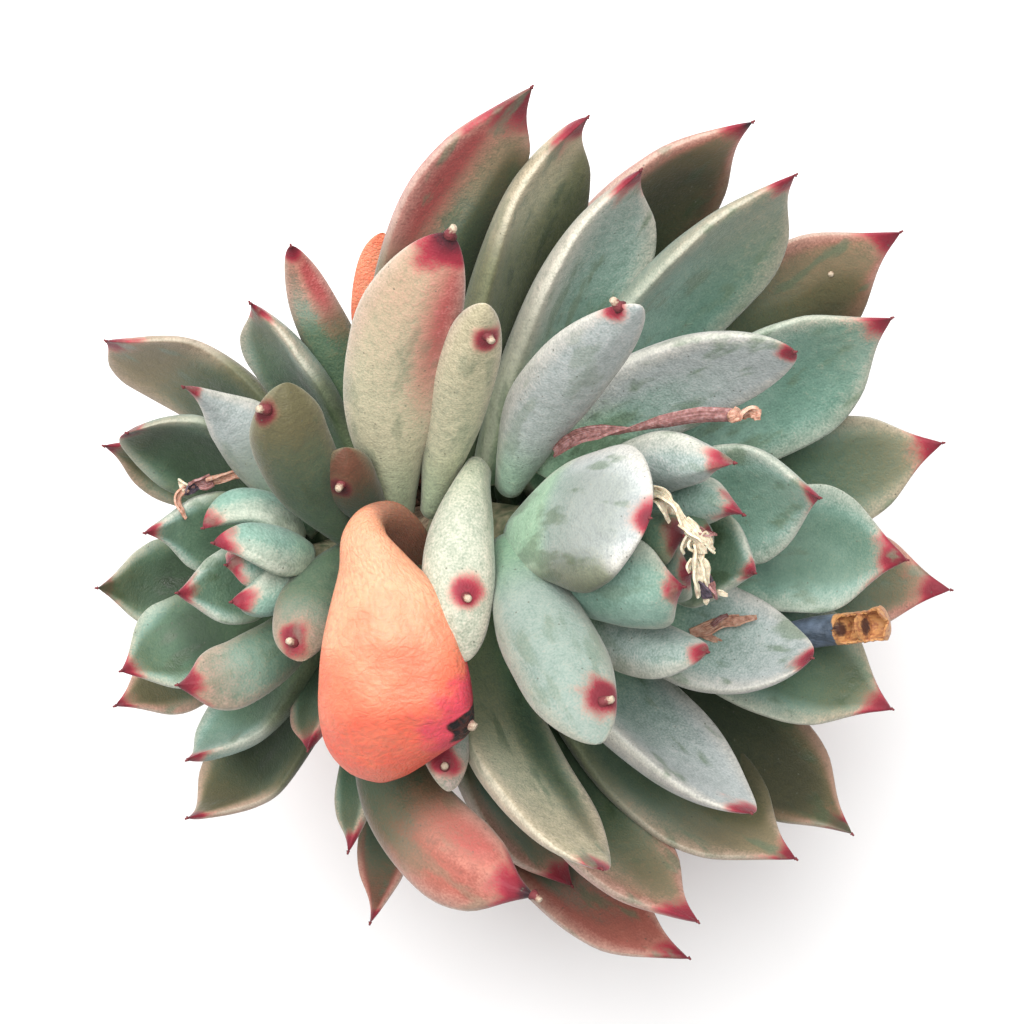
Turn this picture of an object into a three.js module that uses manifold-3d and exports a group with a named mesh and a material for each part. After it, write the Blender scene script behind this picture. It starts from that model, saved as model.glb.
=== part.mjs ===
// A potted ratam echeveria: two rosettes of fleshy pointed leaves on one forked trunk, in a plain pot.
// Millimetres, +Z up. The origin is the middle of the pot's flat underside.
import * as THREE from 'three';
import { mergeVertices } from 'three/addons/utils/BufferGeometryUtils.js';
import Module from 'manifold-3d';

const wasm = await Module();
wasm.setup();

// Pot and soil
const POT_HEIGHT = 60;
const POT_BASE_RADIUS = 26;
const POT_NECK_RADIUS = 34;
const POT_RIM_RADIUS = 38;
const RIM_HEIGHT = 15;
const WALL = 3.2;
const POT_FLOOR = 4;
const DRAIN_RADIUS = 3;
const DRAIN_RING = 14;
const DRAIN_COUNT = 3;
const SOIL_TOP = 53;
const SOIL_MOUND = 1.6;
const PEBBLES = 26;
const PEBBLE_SIZE = [1.6, 3.2];
const POT_SIDES = 36;

// Room kept between pieces that touch
const GAP = 0.3;

// Straight-down view in which the leaves' places are read: pixels of a square frame of 1024.
// A point at VIEW_LEVEL is drawn at VIEW_SCALE pixels to the millimetre.
const VIEW_AXIS = [505, 530];
const VIEW_SCALE = 7;
const VIEW_RANGE = 450;
const VIEW_LEVEL = 105;
// Heights in the lists below count from a level this far above the ground.
const LIFT = 8;

// Trunk: its path from the soil to the fork, and an arm to each head, as [pixel x, pixel y, height].
const TRUNK_RADIUS = 6.2;
const TRUNK_SUNK = 16;
const TRUNK_PATH = [[438, 552, 44], [432, 545, 56], [428, 546, 64]];
const ARM_RADIUS = 5.6;
const ARM_TO_LARGE = [[428, 546, 60], [448, 545, 69], [470, 543, 76]];
const ARM_TO_SMALL = [[428, 546, 60], [408, 548, 66], [390, 552, 71]];

// A head is leaves round a stem. `stem` is the stem's middle line, `radius` its two end radii, `apex` and
// `ring` two points on the rosette's axis, and `forward` how far ahead of itself a leaf's face aims.
const HEADS = {
  large: {
    stem: [[462, 545, 76], [510, 543, 88], [606, 551, 98]],
    radius: [7, 4.5],
    apex: [600, 550, 97],
    ring: [685, 555, 110],
    forward: 22,
    width: 20,
    thick: 7,
    cup: 0.16,
  },
  small: {
    stem: [[396, 552, 72], [362, 560, 79], [298, 572, 86]],
    radius: [5.6, 3.4],
    apex: [300, 572, 86],
    ring: [243, 578, 93],
    forward: 15,
    width: 15,
    thick: 5.6,
    cup: 0.14,
  },
};

// Leaves as seen from above: the root, the middle of the midrib and the tip, each [pixel x, pixel y, height].
// `width` and `thick` are millimetres, `roll` turns the back of the leaf up, in degrees, and `cup` hollows
// the face. Where `mucro` is given the leaf ends in a round hood, and its point stands on the back, there.
const LARGE_LEAVES = {
  upper_1: { root: [408, 480, 76], mid: [424, 268, 92], tip: [532, 87, 116], width: 18, roll: 20, cup: 0.08 },
  upper_2: { root: [462, 500, 80], mid: [518, 242, 88], tip: [588, 117, 116], width: 21, roll: -8 },
  upper_3: { root: [492, 490, 84], mid: [568, 292, 86], tip: [641, 170, 116], width: 20, roll: -16 },
  upper_4: { root: [490, 480, 76], mid: [592, 264, 74], tip: [753, 122, 92], width: 20 },
  upper_5: { root: [520, 490, 86], mid: [647, 320, 80], tip: [796, 175, 98], width: 23, roll: -8 },
  upper_6: { root: [530, 510, 78], mid: [715, 346, 64], tip: [901, 232, 74], width: 22 },
  upper_7: { root: [545, 520, 90], mid: [730, 404, 80], tip: [892, 318, 90], width: 22 },
  upper_8: { root: [540, 480, 94], mid: [660, 388, 98], tip: [795, 352, 112], width: 16, roll: 18, cup: 0.08 },
  upper_9: { root: [508, 488, 92], mid: [554, 390, 110], tip: [640, 306, 134], mucro: [620, 304],
    width: 11.5, roll: 55, cup: 0.02 },
  right_1: { root: [560, 530, 84], mid: [755, 486, 70], tip: [943, 443, 74], width: 18 },
  right_2: { root: [600, 530, 95], mid: [735, 498, 92], tip: [820, 498, 104], width: 19 },
  right_3: { root: [590, 550, 92], mid: [782, 548, 80], tip: [907, 560, 86], width: 19.5 },
  right_4: { root: [560, 550, 84], mid: [780, 572, 66], tip: [951, 590, 68], width: 17 },
  inner_1: { root: [585, 495, 98], mid: [664, 460, 112], tip: [735, 463, 122], width: 9.5, roll: 60, cup: 0.02 },
  inner_2: { root: [610, 510, 98], mid: [690, 500, 106], tip: [744, 515, 114], width: 8, roll: 60, cup: 0.02 },
  inner_3: { root: [612, 540, 99], mid: [650, 536, 114], tip: [684, 536, 121], width: 8, roll: 10 },
  inner_4: { root: [512, 540, 98], mid: [574, 515, 118], tip: [650, 518, 130], width: 21, cup: 0.1, thick: 7.5 },
  inner_5: { root: [540, 572, 98], mid: [616, 586, 114], tip: [684, 587, 121], width: 14, cup: 0.1 },
  inner_6: { root: [610, 565, 98], mid: [655, 570, 110], tip: [692, 573, 116], width: 10 },
  inner_7: { root: [610, 555, 96], mid: [705, 560, 98], tip: [755, 573, 108], width: 15 },
  inner_8: { root: [626, 547, 98], mid: [675, 538, 106], tip: [712, 533, 112], width: 8 },
  inner_9: { root: [618, 550, 98], mid: [648, 552, 108], tip: [672, 555, 114], width: 7 },
  lower_1: { root: [570, 575, 92], mid: [712, 646, 88], tip: [812, 658, 98], width: 19, roll: -8 },
  lower_2: { root: [560, 570, 90], mid: [755, 652, 76], tip: [892, 709, 82], width: 20 },
  lower_3: { root: [530, 570, 80], mid: [703, 718, 66], tip: [852, 834, 74], width: 19 },
  lower_4: { root: [510, 580, 82], mid: [648, 746, 70], tip: [796, 859, 82], width: 20 },
  lower_5: { root: [530, 590, 88], mid: [640, 728, 86], tip: [751, 813, 100], width: 19, roll: -8 },
  lower_6: { root: [505, 550, 98], mid: [548, 640, 116], tip: [601, 744, 128], mucro: [605, 702],
    width: 13.5, roll: 75, cup: 0.0, thick: 7.5 },
  lower_7: { root: [560, 590, 98], mid: [640, 647, 104], tip: [708, 652, 118], width: 9.5, roll: 60, cup: 0.02 },
  lower_8: { root: [470, 585, 84], mid: [510, 755, 90], tip: [602, 869, 114], width: 17, roll: 14, cup: 0.1 },
  lower_9: { root: [480, 600, 78], mid: [566, 798, 76], tip: [698, 922, 92], width: 18, roll: 4 },
  lower_10: { root: [460, 600, 74], mid: [525, 830, 64], tip: [689, 958, 76], width: 15, roll: 15 },
  lower_11: { root: [460, 620, 72], mid: [484, 760, 66], tip: [572, 886, 72], width: 16 },
  left_1: { root: [395, 640, 76], mid: [407, 803, 86], tip: [535, 896, 100], width: 14, roll: 70, cup: 0.0 },
  left_2: { root: [480, 470, 96], mid: [459, 560, 108], tip: [466, 662, 112], mucro: [467, 600],
    width: 10.5, roll: 90, cup: 0.0 },
  left_3: { root: [405, 520, 84], mid: [394, 380, 108], tip: [451, 233, 130], width: 15, roll: 75, cup: 0.0 },
  left_4: { root: [430, 512, 88], mid: [459, 395, 108], tip: [485, 303, 128], mucro: [489, 336],
    width: 9, roll: 70, cup: 0.0, thick: 6.4 },
};

const SMALL_LEAVES = {
  upper_1: { root: [390, 470, 76], mid: [323, 326, 84], tip: [291, 246, 94], width: 8, roll: 50, cup: 0.0, thick: 5 },
  upper_2: { root: [370, 500, 76], mid: [303, 376, 80], tip: [253, 306, 90], width: 13, roll: -14 },
  upper_3: { root: [350, 520, 74], mid: [224, 396, 64], tip: [106, 341, 72], width: 19, roll: -14, cup: 0.06 },
  upper_4: { root: [325, 530, 84], mid: [245, 430, 88], tip: [183, 387, 100], width: 11, roll: 16 },
  upper_5: { root: [350, 535, 86], mid: [297, 458, 104], tip: [287, 382, 114], mucro: [264, 408],
    width: 11.5, roll: 75, cup: 0.0, thick: 6.4 },
  upper_6: { root: [310, 530, 80], mid: [208, 462, 76], tip: [127, 433, 84], width: 15, roll: -14 },
  upper_7: { root: [330, 540, 74], mid: [205, 476, 62], tip: [104, 446, 72], width: 12 },
  upper_8: { root: [388, 522, 86], mid: [352, 484, 98], tip: [346, 447, 106], mucro: [339, 484],
    width: 8, roll: 75, cup: 0.0 },
  left_1: { root: [300, 550, 82], mid: [210, 530, 78], tip: [145, 533, 84], width: 14 },
  left_2: { root: [310, 560, 76], mid: [190, 580, 62], tip: [97, 588, 68], width: 14 },
  left_3: { root: [290, 575, 84], mid: [228, 588, 84], tip: [177, 593, 90], width: 12 },
  inner_1: { root: [295, 545, 88], mid: [255, 513, 94], tip: [203, 528, 98], width: 9 },
  inner_2: { root: [305, 560, 90], mid: [258, 547, 98], tip: [213, 543, 102], width: 9, roll: 10 },
  inner_3: { root: [290, 570, 88], mid: [256, 566, 94], tip: [226, 565, 98], width: 7 },
  inner_4: { root: [300, 580, 88], mid: [268, 592, 94], tip: [231, 602, 100], width: 9, roll: 20 },
  lower_1: { root: [300, 580, 80], mid: [200, 638, 72], tip: [121, 671, 78], width: 15 },
  lower_2: { root: [320, 580, 74], mid: [205, 662, 58], tip: [115, 706, 64], width: 13 },
  lower_3: { root: [325, 590, 86], mid: [258, 662, 90], tip: [177, 685, 98], width: 10, roll: 30 },
  lower_4: { root: [348, 555, 84], mid: [310, 605, 97], tip: [301, 662, 103], mucro: [293, 643],
    width: 9.5, roll: 75, cup: 0.0 },
  lower_5: { root: [335, 600, 80], mid: [259, 709, 72], tip: [187, 760, 82], width: 14, roll: -8 },
  lower_6: { root: [350, 610, 74], mid: [266, 757, 64], tip: [187, 818, 74], width: 16 },
  lower_7: { root: [360, 600, 78], mid: [325, 690, 78], tip: [308, 750, 84], width: 10 },
  lower_8: { root: [385, 640, 72], mid: [364, 760, 68], tip: [348, 852, 74], width: 7.5, thick: 5 },
  lower_9: { root: [400, 650, 64], mid: [389, 830, 55], tip: [370, 923, 62], width: 9, roll: 10, thick: 5 },
  lower_10: { root: [425, 640, 78], mid: [440, 715, 92], tip: [448, 792, 100], mucro: [445, 768],
    width: 8, roll: 75, cup: 0.0 },
};

// Shorter old leaves under each head, fanned out from the foot of its stem, unseen from above.
// `spread` is the fan's first and last bearing in degrees, counter-clockwise from +X.
const UNDER_LEAVES = {
  large: { count: 9, spread: [-112, 96], reach: 38, root: 9, rise: 2, height: 66, width: 16, thick: 5 },
  small: { count: 6, spread: [112, 262], reach: 31, root: 8, rise: 1, height: 62, width: 12, thick: 4.4 },
};

// Withered leaf over the fork: orange, folded, hanging on its narrow base
const WITHERED_LEAF = {
  root: [372, 522, 100], mid: [384, 650, 117], tip: [402, 772, 108], width: 19.5, thick: 4, roll: 0, cup: 0.0 };
const WITHERED_NECK = [[402, 546, 80], [380, 528, 92], [376, 560, 107]];
const WITHERED_NECK_RADIUS = [1.8, 3.2];
const WITHERED_POINT = [[430, 702, 113], [452, 715, 112], [467, 721, 113]];

// Second withered leaf, behind the outermost upper leaves
const SLIVER = { root: [408, 470, 74], mid: [369, 330, 76], tip: [376, 228, 82], width: 8, thick: 3, roll: 0, cup: 0.05 };

// Cut flower stalk, with a torn hollow end
const STALK_PATH = [[628, 585, 82], [760, 611, 80], [870, 627, 87]];
const STALK_RADIUS = 2.3;
const STALK_END_RADIUS = 2.9;
const STALK_BORE = 1.6;
const STALK_BORE_DEPTH = 4;

// Shrivelled scraps: each is a strip along a path, [pixel x, pixel y, height], with a width and a thickness
const DRY_LEAF = { path: [[552, 448, 103], [640, 414, 113], [720, 408, 115], [764, 412, 119]], width: 3.6, thick: 1.4 };
const DRY_FLOWER = [
  { path: [[692, 545, 108], [668, 514, 122], [648, 492, 126]], width: 1.9, thick: 1.1 },
  { path: [[690, 548, 108], [706, 510, 124], [690, 488, 127]], width: 1.3, thick: 1.0 },
  { path: [[690, 548, 108], [684, 572, 122], [704, 600, 126]], width: 2.4, thick: 1.2 },
  { path: [[690, 548, 108], [712, 560, 121], [716, 588, 124]], width: 1.4, thick: 1.0 },
];
const DRY_BRACT = { path: [[690, 634, 90.4], [726, 624, 89.8], [757, 617, 89.2]], width: 2.6, thick: 1.0 };
const DRY_HOOK = { path: [[240, 470, 83], [196, 478, 82], [178, 506, 82]], width: 2.0, thick: 1.1 };

const COLOURS = {
  leaf: '#86a597',
  small_leaf: '#7f9c8f',
  withered: '#f28b68',
  sliver: '#e8804f',
  bark: '#8b745c',
  soil: '#4c3d31',
  pot: '#b5694a',
  stalk: '#6f7d88',
  dry: '#a97f6a',
  flower: '#d9cdb4',
};

function seen([x, y, height]) {
  const scale = (VIEW_RANGE - (height - VIEW_LEVEL)) / VIEW_RANGE / VIEW_SCALE;
  return new THREE.Vector3((x - VIEW_AXIS[0]) * scale, -(y - VIEW_AXIS[1]) * scale, height + LIFT);
}

function drawn(point) {
  const scale = (VIEW_RANGE / (VIEW_RANGE - (point.z - LIFT - VIEW_LEVEL))) * VIEW_SCALE;
  return new THREE.Vector2(VIEW_AXIS[0] + point.x * scale, VIEW_AXIS[1] - point.y * scale);
}

// A seeded draw between 0 and 1, the same every time.
function seeded(seed) {
  let state = seed;
  return () => {
    state = (state * 1664525 + 1013904223) % 4294967296;
    return state / 4294967296;
  };
}

function solidOf(geometry) {
  const bare = geometry.index ? geometry.toNonIndexed() : geometry.clone();
  bare.deleteAttribute('normal');
  bare.deleteAttribute('uv');
  const merged = mergeVertices(bare, 1e-3);
  return new wasm.Manifold(new wasm.Mesh({
    numProp: 3,
    vertProperties: new Float32Array(merged.attributes.position.array),
    triVerts: new Uint32Array(merged.index.array),
  }));
}

function geometryOf(solid) {
  const mesh = solid.getMesh();
  const positions = [];
  for (let i = 0; i < mesh.numVert; i += 1) {
    positions.push(...mesh.vertProperties.slice(i * mesh.numProp, i * mesh.numProp + 3));
  }
  const geometry = new THREE.BufferGeometry();
  geometry.setAttribute('position', new THREE.Float32BufferAttribute(positions, 3));
  geometry.setIndex([...mesh.triVerts]);
  geometry.computeVertexNormals();
  return geometry;
}

function fused(solids) {
  return solids.reduce((whole, piece) => whole.add(piece));
}

function without(solid, others) {
  return others.reduce((rest, other) => rest.subtract(other), solid);
}

function largestBody(solid) {
  return solid.decompose().sort((a, b) => b.volume() - a.volume())[0];
}

// A closed skin over rings of points, with a fan of triangles over each end.
function skin(rings, first, last) {
  const sides = rings[0].length;
  const positions = [];
  const triangle = (a, b, c) => positions.push(...a, ...b, ...c);
  rings.slice(1).forEach((ring, i) => {
    const before = rings[i];
    for (let k = 0; k < sides; k += 1) {
      const next = (k + 1) % sides;
      triangle(before[k], ring[next], ring[k]);
      triangle(before[k], before[next], ring[next]);
    }
  });
  for (let k = 0; k < sides; k += 1) {
    const next = (k + 1) % sides;
    triangle(first, rings[0][next], rings[0][k]);
    triangle(last, rings[rings.length - 1][k], rings[rings.length - 1][next]);
  }
  const geometry = new THREE.BufferGeometry();
  geometry.setAttribute('position', new THREE.Float32BufferAttribute(positions, 3));
  return solidOf(geometry);
}

// A tube along points: its radius eases from the first value to the last and swells by `belly` between
// them, and its section is round, or an ellipse `flat` times as deep as it is wide.
function tube(points, radii, { sides = 8, steps = 6, grow = 0, flat = 1, belly = 0 } = {}) {
  const curve = new THREE.CatmullRomCurve3(points);
  const rings = [];
  const frames = curve.computeFrenetFrames(steps);
  for (let i = 0; i <= steps; i += 1) {
    const s = i / steps;
    const radius = radii[0] * (1 - s) + radii[1] * s + belly * Math.sin(Math.PI * s) + grow;
    const centre = curve.getPointAt(s);
    rings.push(Array.from({ length: sides }, (_, k) => {
      const angle = (2 * Math.PI * k) / sides;
      return centre.clone()
        .addScaledVector(frames.normals[i], Math.cos(angle) * radius)
        .addScaledVector(frames.binormals[i], Math.sin(angle) * (radius * flat + (flat < 1 ? grow : 0)));
    }));
  }
  const first = curve.getPointAt(0).addScaledVector(curve.getTangentAt(0), -radii[0] * 0.3 - grow);
  const last = curve.getPointAt(1).addScaledVector(curve.getTangentAt(1), radii[1] * 0.3 + grow);
  return skin(rings, first, last);
}

// Half-width of a leaf at a share s of its length, from a narrow root to a full shoulder and a drawn-out point.
const SHOULDER = 0.72;
const ROOT_SHARE = 0.44;
function outline(s, hooded) {
  if (s < SHOULDER) {
    return ROOT_SHARE + (1 - ROOT_SHARE) * Math.sin((Math.PI / 2) * (s / SHOULDER)) ** 1.2;
  }
  const u = (s - SHOULDER) / (1 - SHOULDER);
  if (hooded) return Math.max(0, 1 - u ** 2.3) ** 0.55;
  const round = u < 0.95 ? (1 - (u / 0.95) ** 1.75) ** 0.78 : 0;
  const point = 0.6 * (1 - u);
  return 0.5 * (round + point + Math.hypot(round - point, 0.06)) * Math.min(1, (1 - u) / 0.14);
}

function thickness(s) {
  if (s < 0.35) return 0.72 + 0.28 * Math.sin((Math.PI / 2) * (s / 0.35));
  return Math.max(0, 1 - ((s - 0.35) / 0.65) ** 2.6) ** 0.6;
}

const FACE_SHARE = 0.35;
const BLADE_STEPS = [0, 0.18, 0.4, 0.6, 0.76, 0.87, 0.95];
const UNDER_STEPS = [0, 0.36, 0.74, 0.92];

// A leaf's frame and midrib. The face looks to the rosette's axis, then `roll` turns the back up.
function midrib(leaf, head) {
  const root = seen(leaf.root);
  const tip = seen(leaf.tip);
  const middle = seen(leaf.mid);
  const chord = tip.clone().sub(root);
  const apex = seen(head.apex);
  const axis = seen(head.ring).sub(apex).normalize();
  const halfway = root.clone().add(tip).multiplyScalar(0.5);
  const foot = apex.clone().addScaledVector(axis, halfway.clone().sub(apex).dot(axis));
  const face = axis.clone().multiplyScalar(head.forward).sub(halfway.sub(foot));
  face.addScaledVector(chord, -face.dot(chord) / chord.lengthSq()).normalize();
  const side = chord.clone().cross(face).normalize();
  const turn = THREE.MathUtils.degToRad(leaf.roll ?? 0) * (side.z >= 0 ? -1 : 1);
  face.applyAxisAngle(chord.clone().normalize(), -turn);
  const control = middle.multiplyScalar(2).addScaledVector(root, -0.5).addScaledVector(tip, -0.5);
  return { curve: new THREE.QuadraticBezierCurve3(root, control, tip), face };
}

function bladePoint(leaf, head, rib, s, angle, grow) {
  const tangent = rib.curve.getTangent(s);
  const up = rib.face.clone().addScaledVector(tangent, -rib.face.dot(tangent)).normalize();
  const side = up.clone().cross(tangent);
  const width = leaf.width ?? head.width;
  const half = (width / 2) * outline(s, 'mucro' in leaf) + grow;
  const deep = (leaf.thick ?? head.thick) * thickness(s) + 2 * grow;
  const rise = Math.sin(angle);
  const share = rise > 0 ? FACE_SHARE : 1 - FACE_SHARE;
  const cup = (leaf.cup ?? head.cup) * width * Math.cos(angle) ** 2 * ((2 * half) / width) ** 2;
  const lift = share * deep * Math.sign(rise) * Math.abs(rise) ** 0.9 + cup;
  return rib.curve.getPoint(s).addScaledVector(side, half * Math.cos(angle)).addScaledVector(up, lift);
}

// One leaf: a neck that reaches into the stem, the blade, and for a hooded leaf its small point.
function leafSolid(leaf, head, stem, sides, grow) {
  const rib = midrib(leaf, head);
  const ring = (s) => Array.from({ length: sides }, (_, k) => (
    bladePoint(leaf, head, rib, s, (2 * Math.PI * k) / sides, grow)));
  const rings = (leaf.steps ?? BLADE_STEPS).map(ring);
  const root = seen(leaf.root);
  const held = nearestOn(stem, root);
  const neck = rings[0].map((point) => point.clone().sub(root).multiplyScalar(0.6).add(held));
  const end = rib.curve.getPoint(1).addScaledVector(rib.curve.getTangent(1), grow);
  const into = root.distanceTo(held) > 1 ? [neck, ...rings] : rings;
  const blade = skin(into, into === rings ? root : held, end);
  return 'mucro' in leaf ? blade.add(mucro(leaf, head, rib, grow)) : blade;
}

function nearestOn(curve, point) {
  const samples = curve.getPoints(24);
  return samples.sort((a, b) => a.distanceToSquared(point) - b.distanceToSquared(point))[0];
}

const MUCRO_HEIGHT = 1.5;
const MUCRO_RADIUS = 1.0;

// The hard point on a hooded leaf: a small cone on its upper surface, where the view shows it.
function mucro(leaf, head, rib, grow) {
  const aim = new THREE.Vector2(...leaf.mucro);
  let best = { distance: Infinity };
  for (let s = 0.5; s < 0.99; s += 0.02) {
    for (let angle = 0; angle < 2 * Math.PI; angle += Math.PI / 12) {
      const place = bladePoint(leaf, head, rib, s, angle, 0);
      const out = place.clone().sub(rib.curve.getPoint(s)).normalize();
      const distance = drawn(place).distanceTo(aim);
      if (out.z > 0.25 && distance < best.distance) best = { distance, place, out };
    }
  }
  const lean = best.out.clone().addScaledVector(rib.curve.getTangent(1), 0.35).normalize();
  const cone = new THREE.ConeGeometry(MUCRO_RADIUS + grow, 2 * MUCRO_HEIGHT, 6);
  cone.applyQuaternion(new THREE.Quaternion().setFromUnitVectors(new THREE.Vector3(0, 1, 0), lean));
  cone.translate(...best.place.clone().addScaledVector(lean, 0.1));
  return solidOf(cone);
}

function underLeaves(fan, foot) {
  const turns = Array.from({ length: fan.count }, (_, i) => i / (fan.count - 1));
  return turns.map((share, i) => {
    const bearing = THREE.MathUtils.degToRad(fan.spread[0] + (fan.spread[1] - fan.spread[0]) * share);
    const reach = fan.reach * (i % 2 ? 0.86 : 1);
    const at = (distance, height) => {
      const point = new THREE.Vector3(
        foot.x + Math.cos(bearing) * distance, foot.y + Math.sin(bearing) * distance, height + LIFT);
      return [...drawn(point), height];
    };
    return {
      root: at(fan.root, fan.height + 6),
      mid: at(reach * 0.55, fan.height - 1),
      tip: at(reach, fan.height + fan.rise),
      width: fan.width,
      thick: fan.thick,
      cup: 0.1,
      steps: UNDER_STEPS,
    };
  });
}

function headSolid(head, leaves, fan, sides, grow) {
  const path = head.stem.map(seen);
  const stem = new THREE.CatmullRomCurve3(path);
  const all = [...Object.values(leaves), ...underLeaves(fan, path[0])];
  const blades = all.map((leaf) => leafSolid(leaf, head, stem, sides, grow));
  return fused([tube(path, head.radius, { sides: 10, steps: 4, grow }), ...blades]);
}

function strip({ path, width, thick }, grow = 0) {
  const points = path.map(seen);
  return tube(points, [width / 5, width / 6], { sides: 6, steps: 6, grow, flat: thick / width, belly: width / 3 });
}

function witheredLeaf(grow) {
  const head = { apex: [372, 530, 40], ring: [372, 530, 60], forward: 200, width: 20, thick: 4, cup: 0 };
  const rib = midrib(WITHERED_LEAF, head);
  const rings = [...BLADE_STEPS, 0.985].map((s) => Array.from({ length: 12 }, (_, k) => (
    bladePoint({ ...WITHERED_LEAF, mucro: [0, 0] }, head, rib, s, (2 * Math.PI * k) / 12, grow))));
  const blade = skin(rings, rib.curve.getPoint(0), rib.curve.getPoint(1));
  const neck = tube(WITHERED_NECK.map(seen), WITHERED_NECK_RADIUS, { sides: 8, steps: 5, grow });
  const point = tube(WITHERED_POINT.map(seen), [2.4, 0.8], { sides: 6, steps: 3, grow });
  return fused([blade, neck, point]);
}

function sliverSolid(grow) {
  const head = { ...HEADS.large, apex: [440, 400, 60], ring: [440, 400, 80], forward: 40 };
  const rib = midrib(SLIVER, head);
  const rings = BLADE_STEPS.map((s) => Array.from({ length: 8 }, (_, k) => (
    bladePoint({ ...SLIVER, mucro: [0, 0] }, head, rib, s, (2 * Math.PI * k) / 8, grow))));
  return skin(rings, rib.curve.getPoint(0), rib.curve.getPoint(1));
}

function stalkSolid(grow) {
  const path = STALK_PATH.map(seen);
  const stalk = tube(path, [STALK_RADIUS, STALK_RADIUS], { sides: 12, steps: 4, grow });
  const end = path[path.length - 1];
  const along = end.clone().sub(path[path.length - 2]).normalize();
  const cup = (radii, back, front) => tube(
    [end.clone().addScaledVector(along, back), end.clone().addScaledVector(along, front)],
    radii, { sides: 12, steps: 1 });
  const flared = cup([STALK_RADIUS + grow, STALK_END_RADIUS + grow], -4, 3);
  if (grow) return stalk.add(flared);
  return stalk.add(flared).subtract(cup([STALK_BORE * 0.6, STALK_BORE * 1.5], 3 - STALK_BORE_DEPTH, 5));
}

function trunkSolid(grow) {
  const foot = seen(TRUNK_PATH[0]);
  const path = [new THREE.Vector3(foot.x, foot.y, SOIL_TOP - TRUNK_SUNK), ...TRUNK_PATH.map(seen)];
  return fused([
    tube(path, [TRUNK_RADIUS, TRUNK_RADIUS], { sides: 14, steps: 8, grow }),
    tube(ARM_TO_LARGE.map(seen), [TRUNK_RADIUS, ARM_RADIUS], { sides: 12, steps: 4, grow }),
    tube(ARM_TO_SMALL.map(seen), [TRUNK_RADIUS, ARM_RADIUS - 0.8], { sides: 12, steps: 4, grow }),
  ]);
}

function lathe(outlinePoints, sides = POT_SIDES) {
  const geometry = new THREE.LatheGeometry(outlinePoints.map(([r, z]) => new THREE.Vector2(r, z)), sides);
  geometry.rotateX(Math.PI / 2);
  return solidOf(geometry);
}

const INNER_BASE = POT_BASE_RADIUS - WALL;
const INNER_RIM = POT_NECK_RADIUS - WALL + 0.8;

function innerRadius(z) {
  return INNER_BASE + ((INNER_RIM - INNER_BASE) * (z - POT_FLOOR)) / (POT_HEIGHT - POT_FLOOR);
}

function potSolid() {
  const band = POT_HEIGHT - RIM_HEIGHT;
  const pot = lathe([
    [0, 0], [POT_BASE_RADIUS - 1, 0], [POT_BASE_RADIUS, 1.2],
    [POT_NECK_RADIUS, band], [POT_RIM_RADIUS - 1.2, band], [POT_RIM_RADIUS - 0.4, band + 1],
    [POT_RIM_RADIUS, POT_HEIGHT - 1.4], [POT_RIM_RADIUS - 1.2, POT_HEIGHT],
    [INNER_RIM + 1.2, POT_HEIGHT], [innerRadius(POT_HEIGHT - 1.6), POT_HEIGHT - 1.6],
    [innerRadius(POT_FLOOR + 2), POT_FLOOR + 2], [INNER_BASE - 2, POT_FLOOR], [0, POT_FLOOR],
  ]);
  const drains = Array.from({ length: DRAIN_COUNT }, (_, i) => {
    const turn = (2 * Math.PI * (i + 0.5)) / DRAIN_COUNT;
    const hole = new THREE.CylinderGeometry(DRAIN_RADIUS, DRAIN_RADIUS, 3 * POT_FLOOR, 16);
    hole.rotateX(Math.PI / 2);
    hole.translate(DRAIN_RING * Math.cos(turn), DRAIN_RING * Math.sin(turn), POT_FLOOR / 2);
    return solidOf(hole);
  });
  return without(pot, drains);
}

function soilSolid() {
  const low = POT_FLOOR + GAP;
  const bed = lathe([
    [0, low], [INNER_BASE - 2 - GAP, low], [innerRadius(low + 2) - GAP * 1.5, low + 2.2],
    [innerRadius(SOIL_TOP - 1.5) - GAP, SOIL_TOP - 1.5], [20, SOIL_TOP + SOIL_MOUND * 0.6],
    [0, SOIL_TOP + SOIL_MOUND],
  ]);
  const draw = seeded(11);
  const pebbles = Array.from({ length: PEBBLES }, (_, i) => {
    const turn = i * 2.39996;
    const reach = 28 * Math.sqrt((i + 0.5) / PEBBLES);
    const size = PEBBLE_SIZE[0] + (PEBBLE_SIZE[1] - PEBBLE_SIZE[0]) * draw();
    const pebble = new THREE.IcosahedronGeometry(size, 0);
    pebble.scale(1, 0.8, 0.62);
    pebble.rotateZ(2 * Math.PI * draw());
    pebble.translate(reach * Math.cos(turn), reach * Math.sin(turn), SOIL_TOP + SOIL_MOUND * 0.7);
    return solidOf(pebble);
  });
  return fused([bed, ...pebbles]);
}

const LARGE_SIDES = 7;
const SMALL_SIDES = 6;
const large = (grow) => headSolid(HEADS.large, LARGE_LEAVES, UNDER_LEAVES.large, LARGE_SIDES, grow);
const small = (grow) => headSolid(HEADS.small, SMALL_LEAVES, UNDER_LEAVES.small, SMALL_SIDES, grow);
const flower = (grow) => fused(DRY_FLOWER.map((petal) => strip(petal, grow)));

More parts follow.
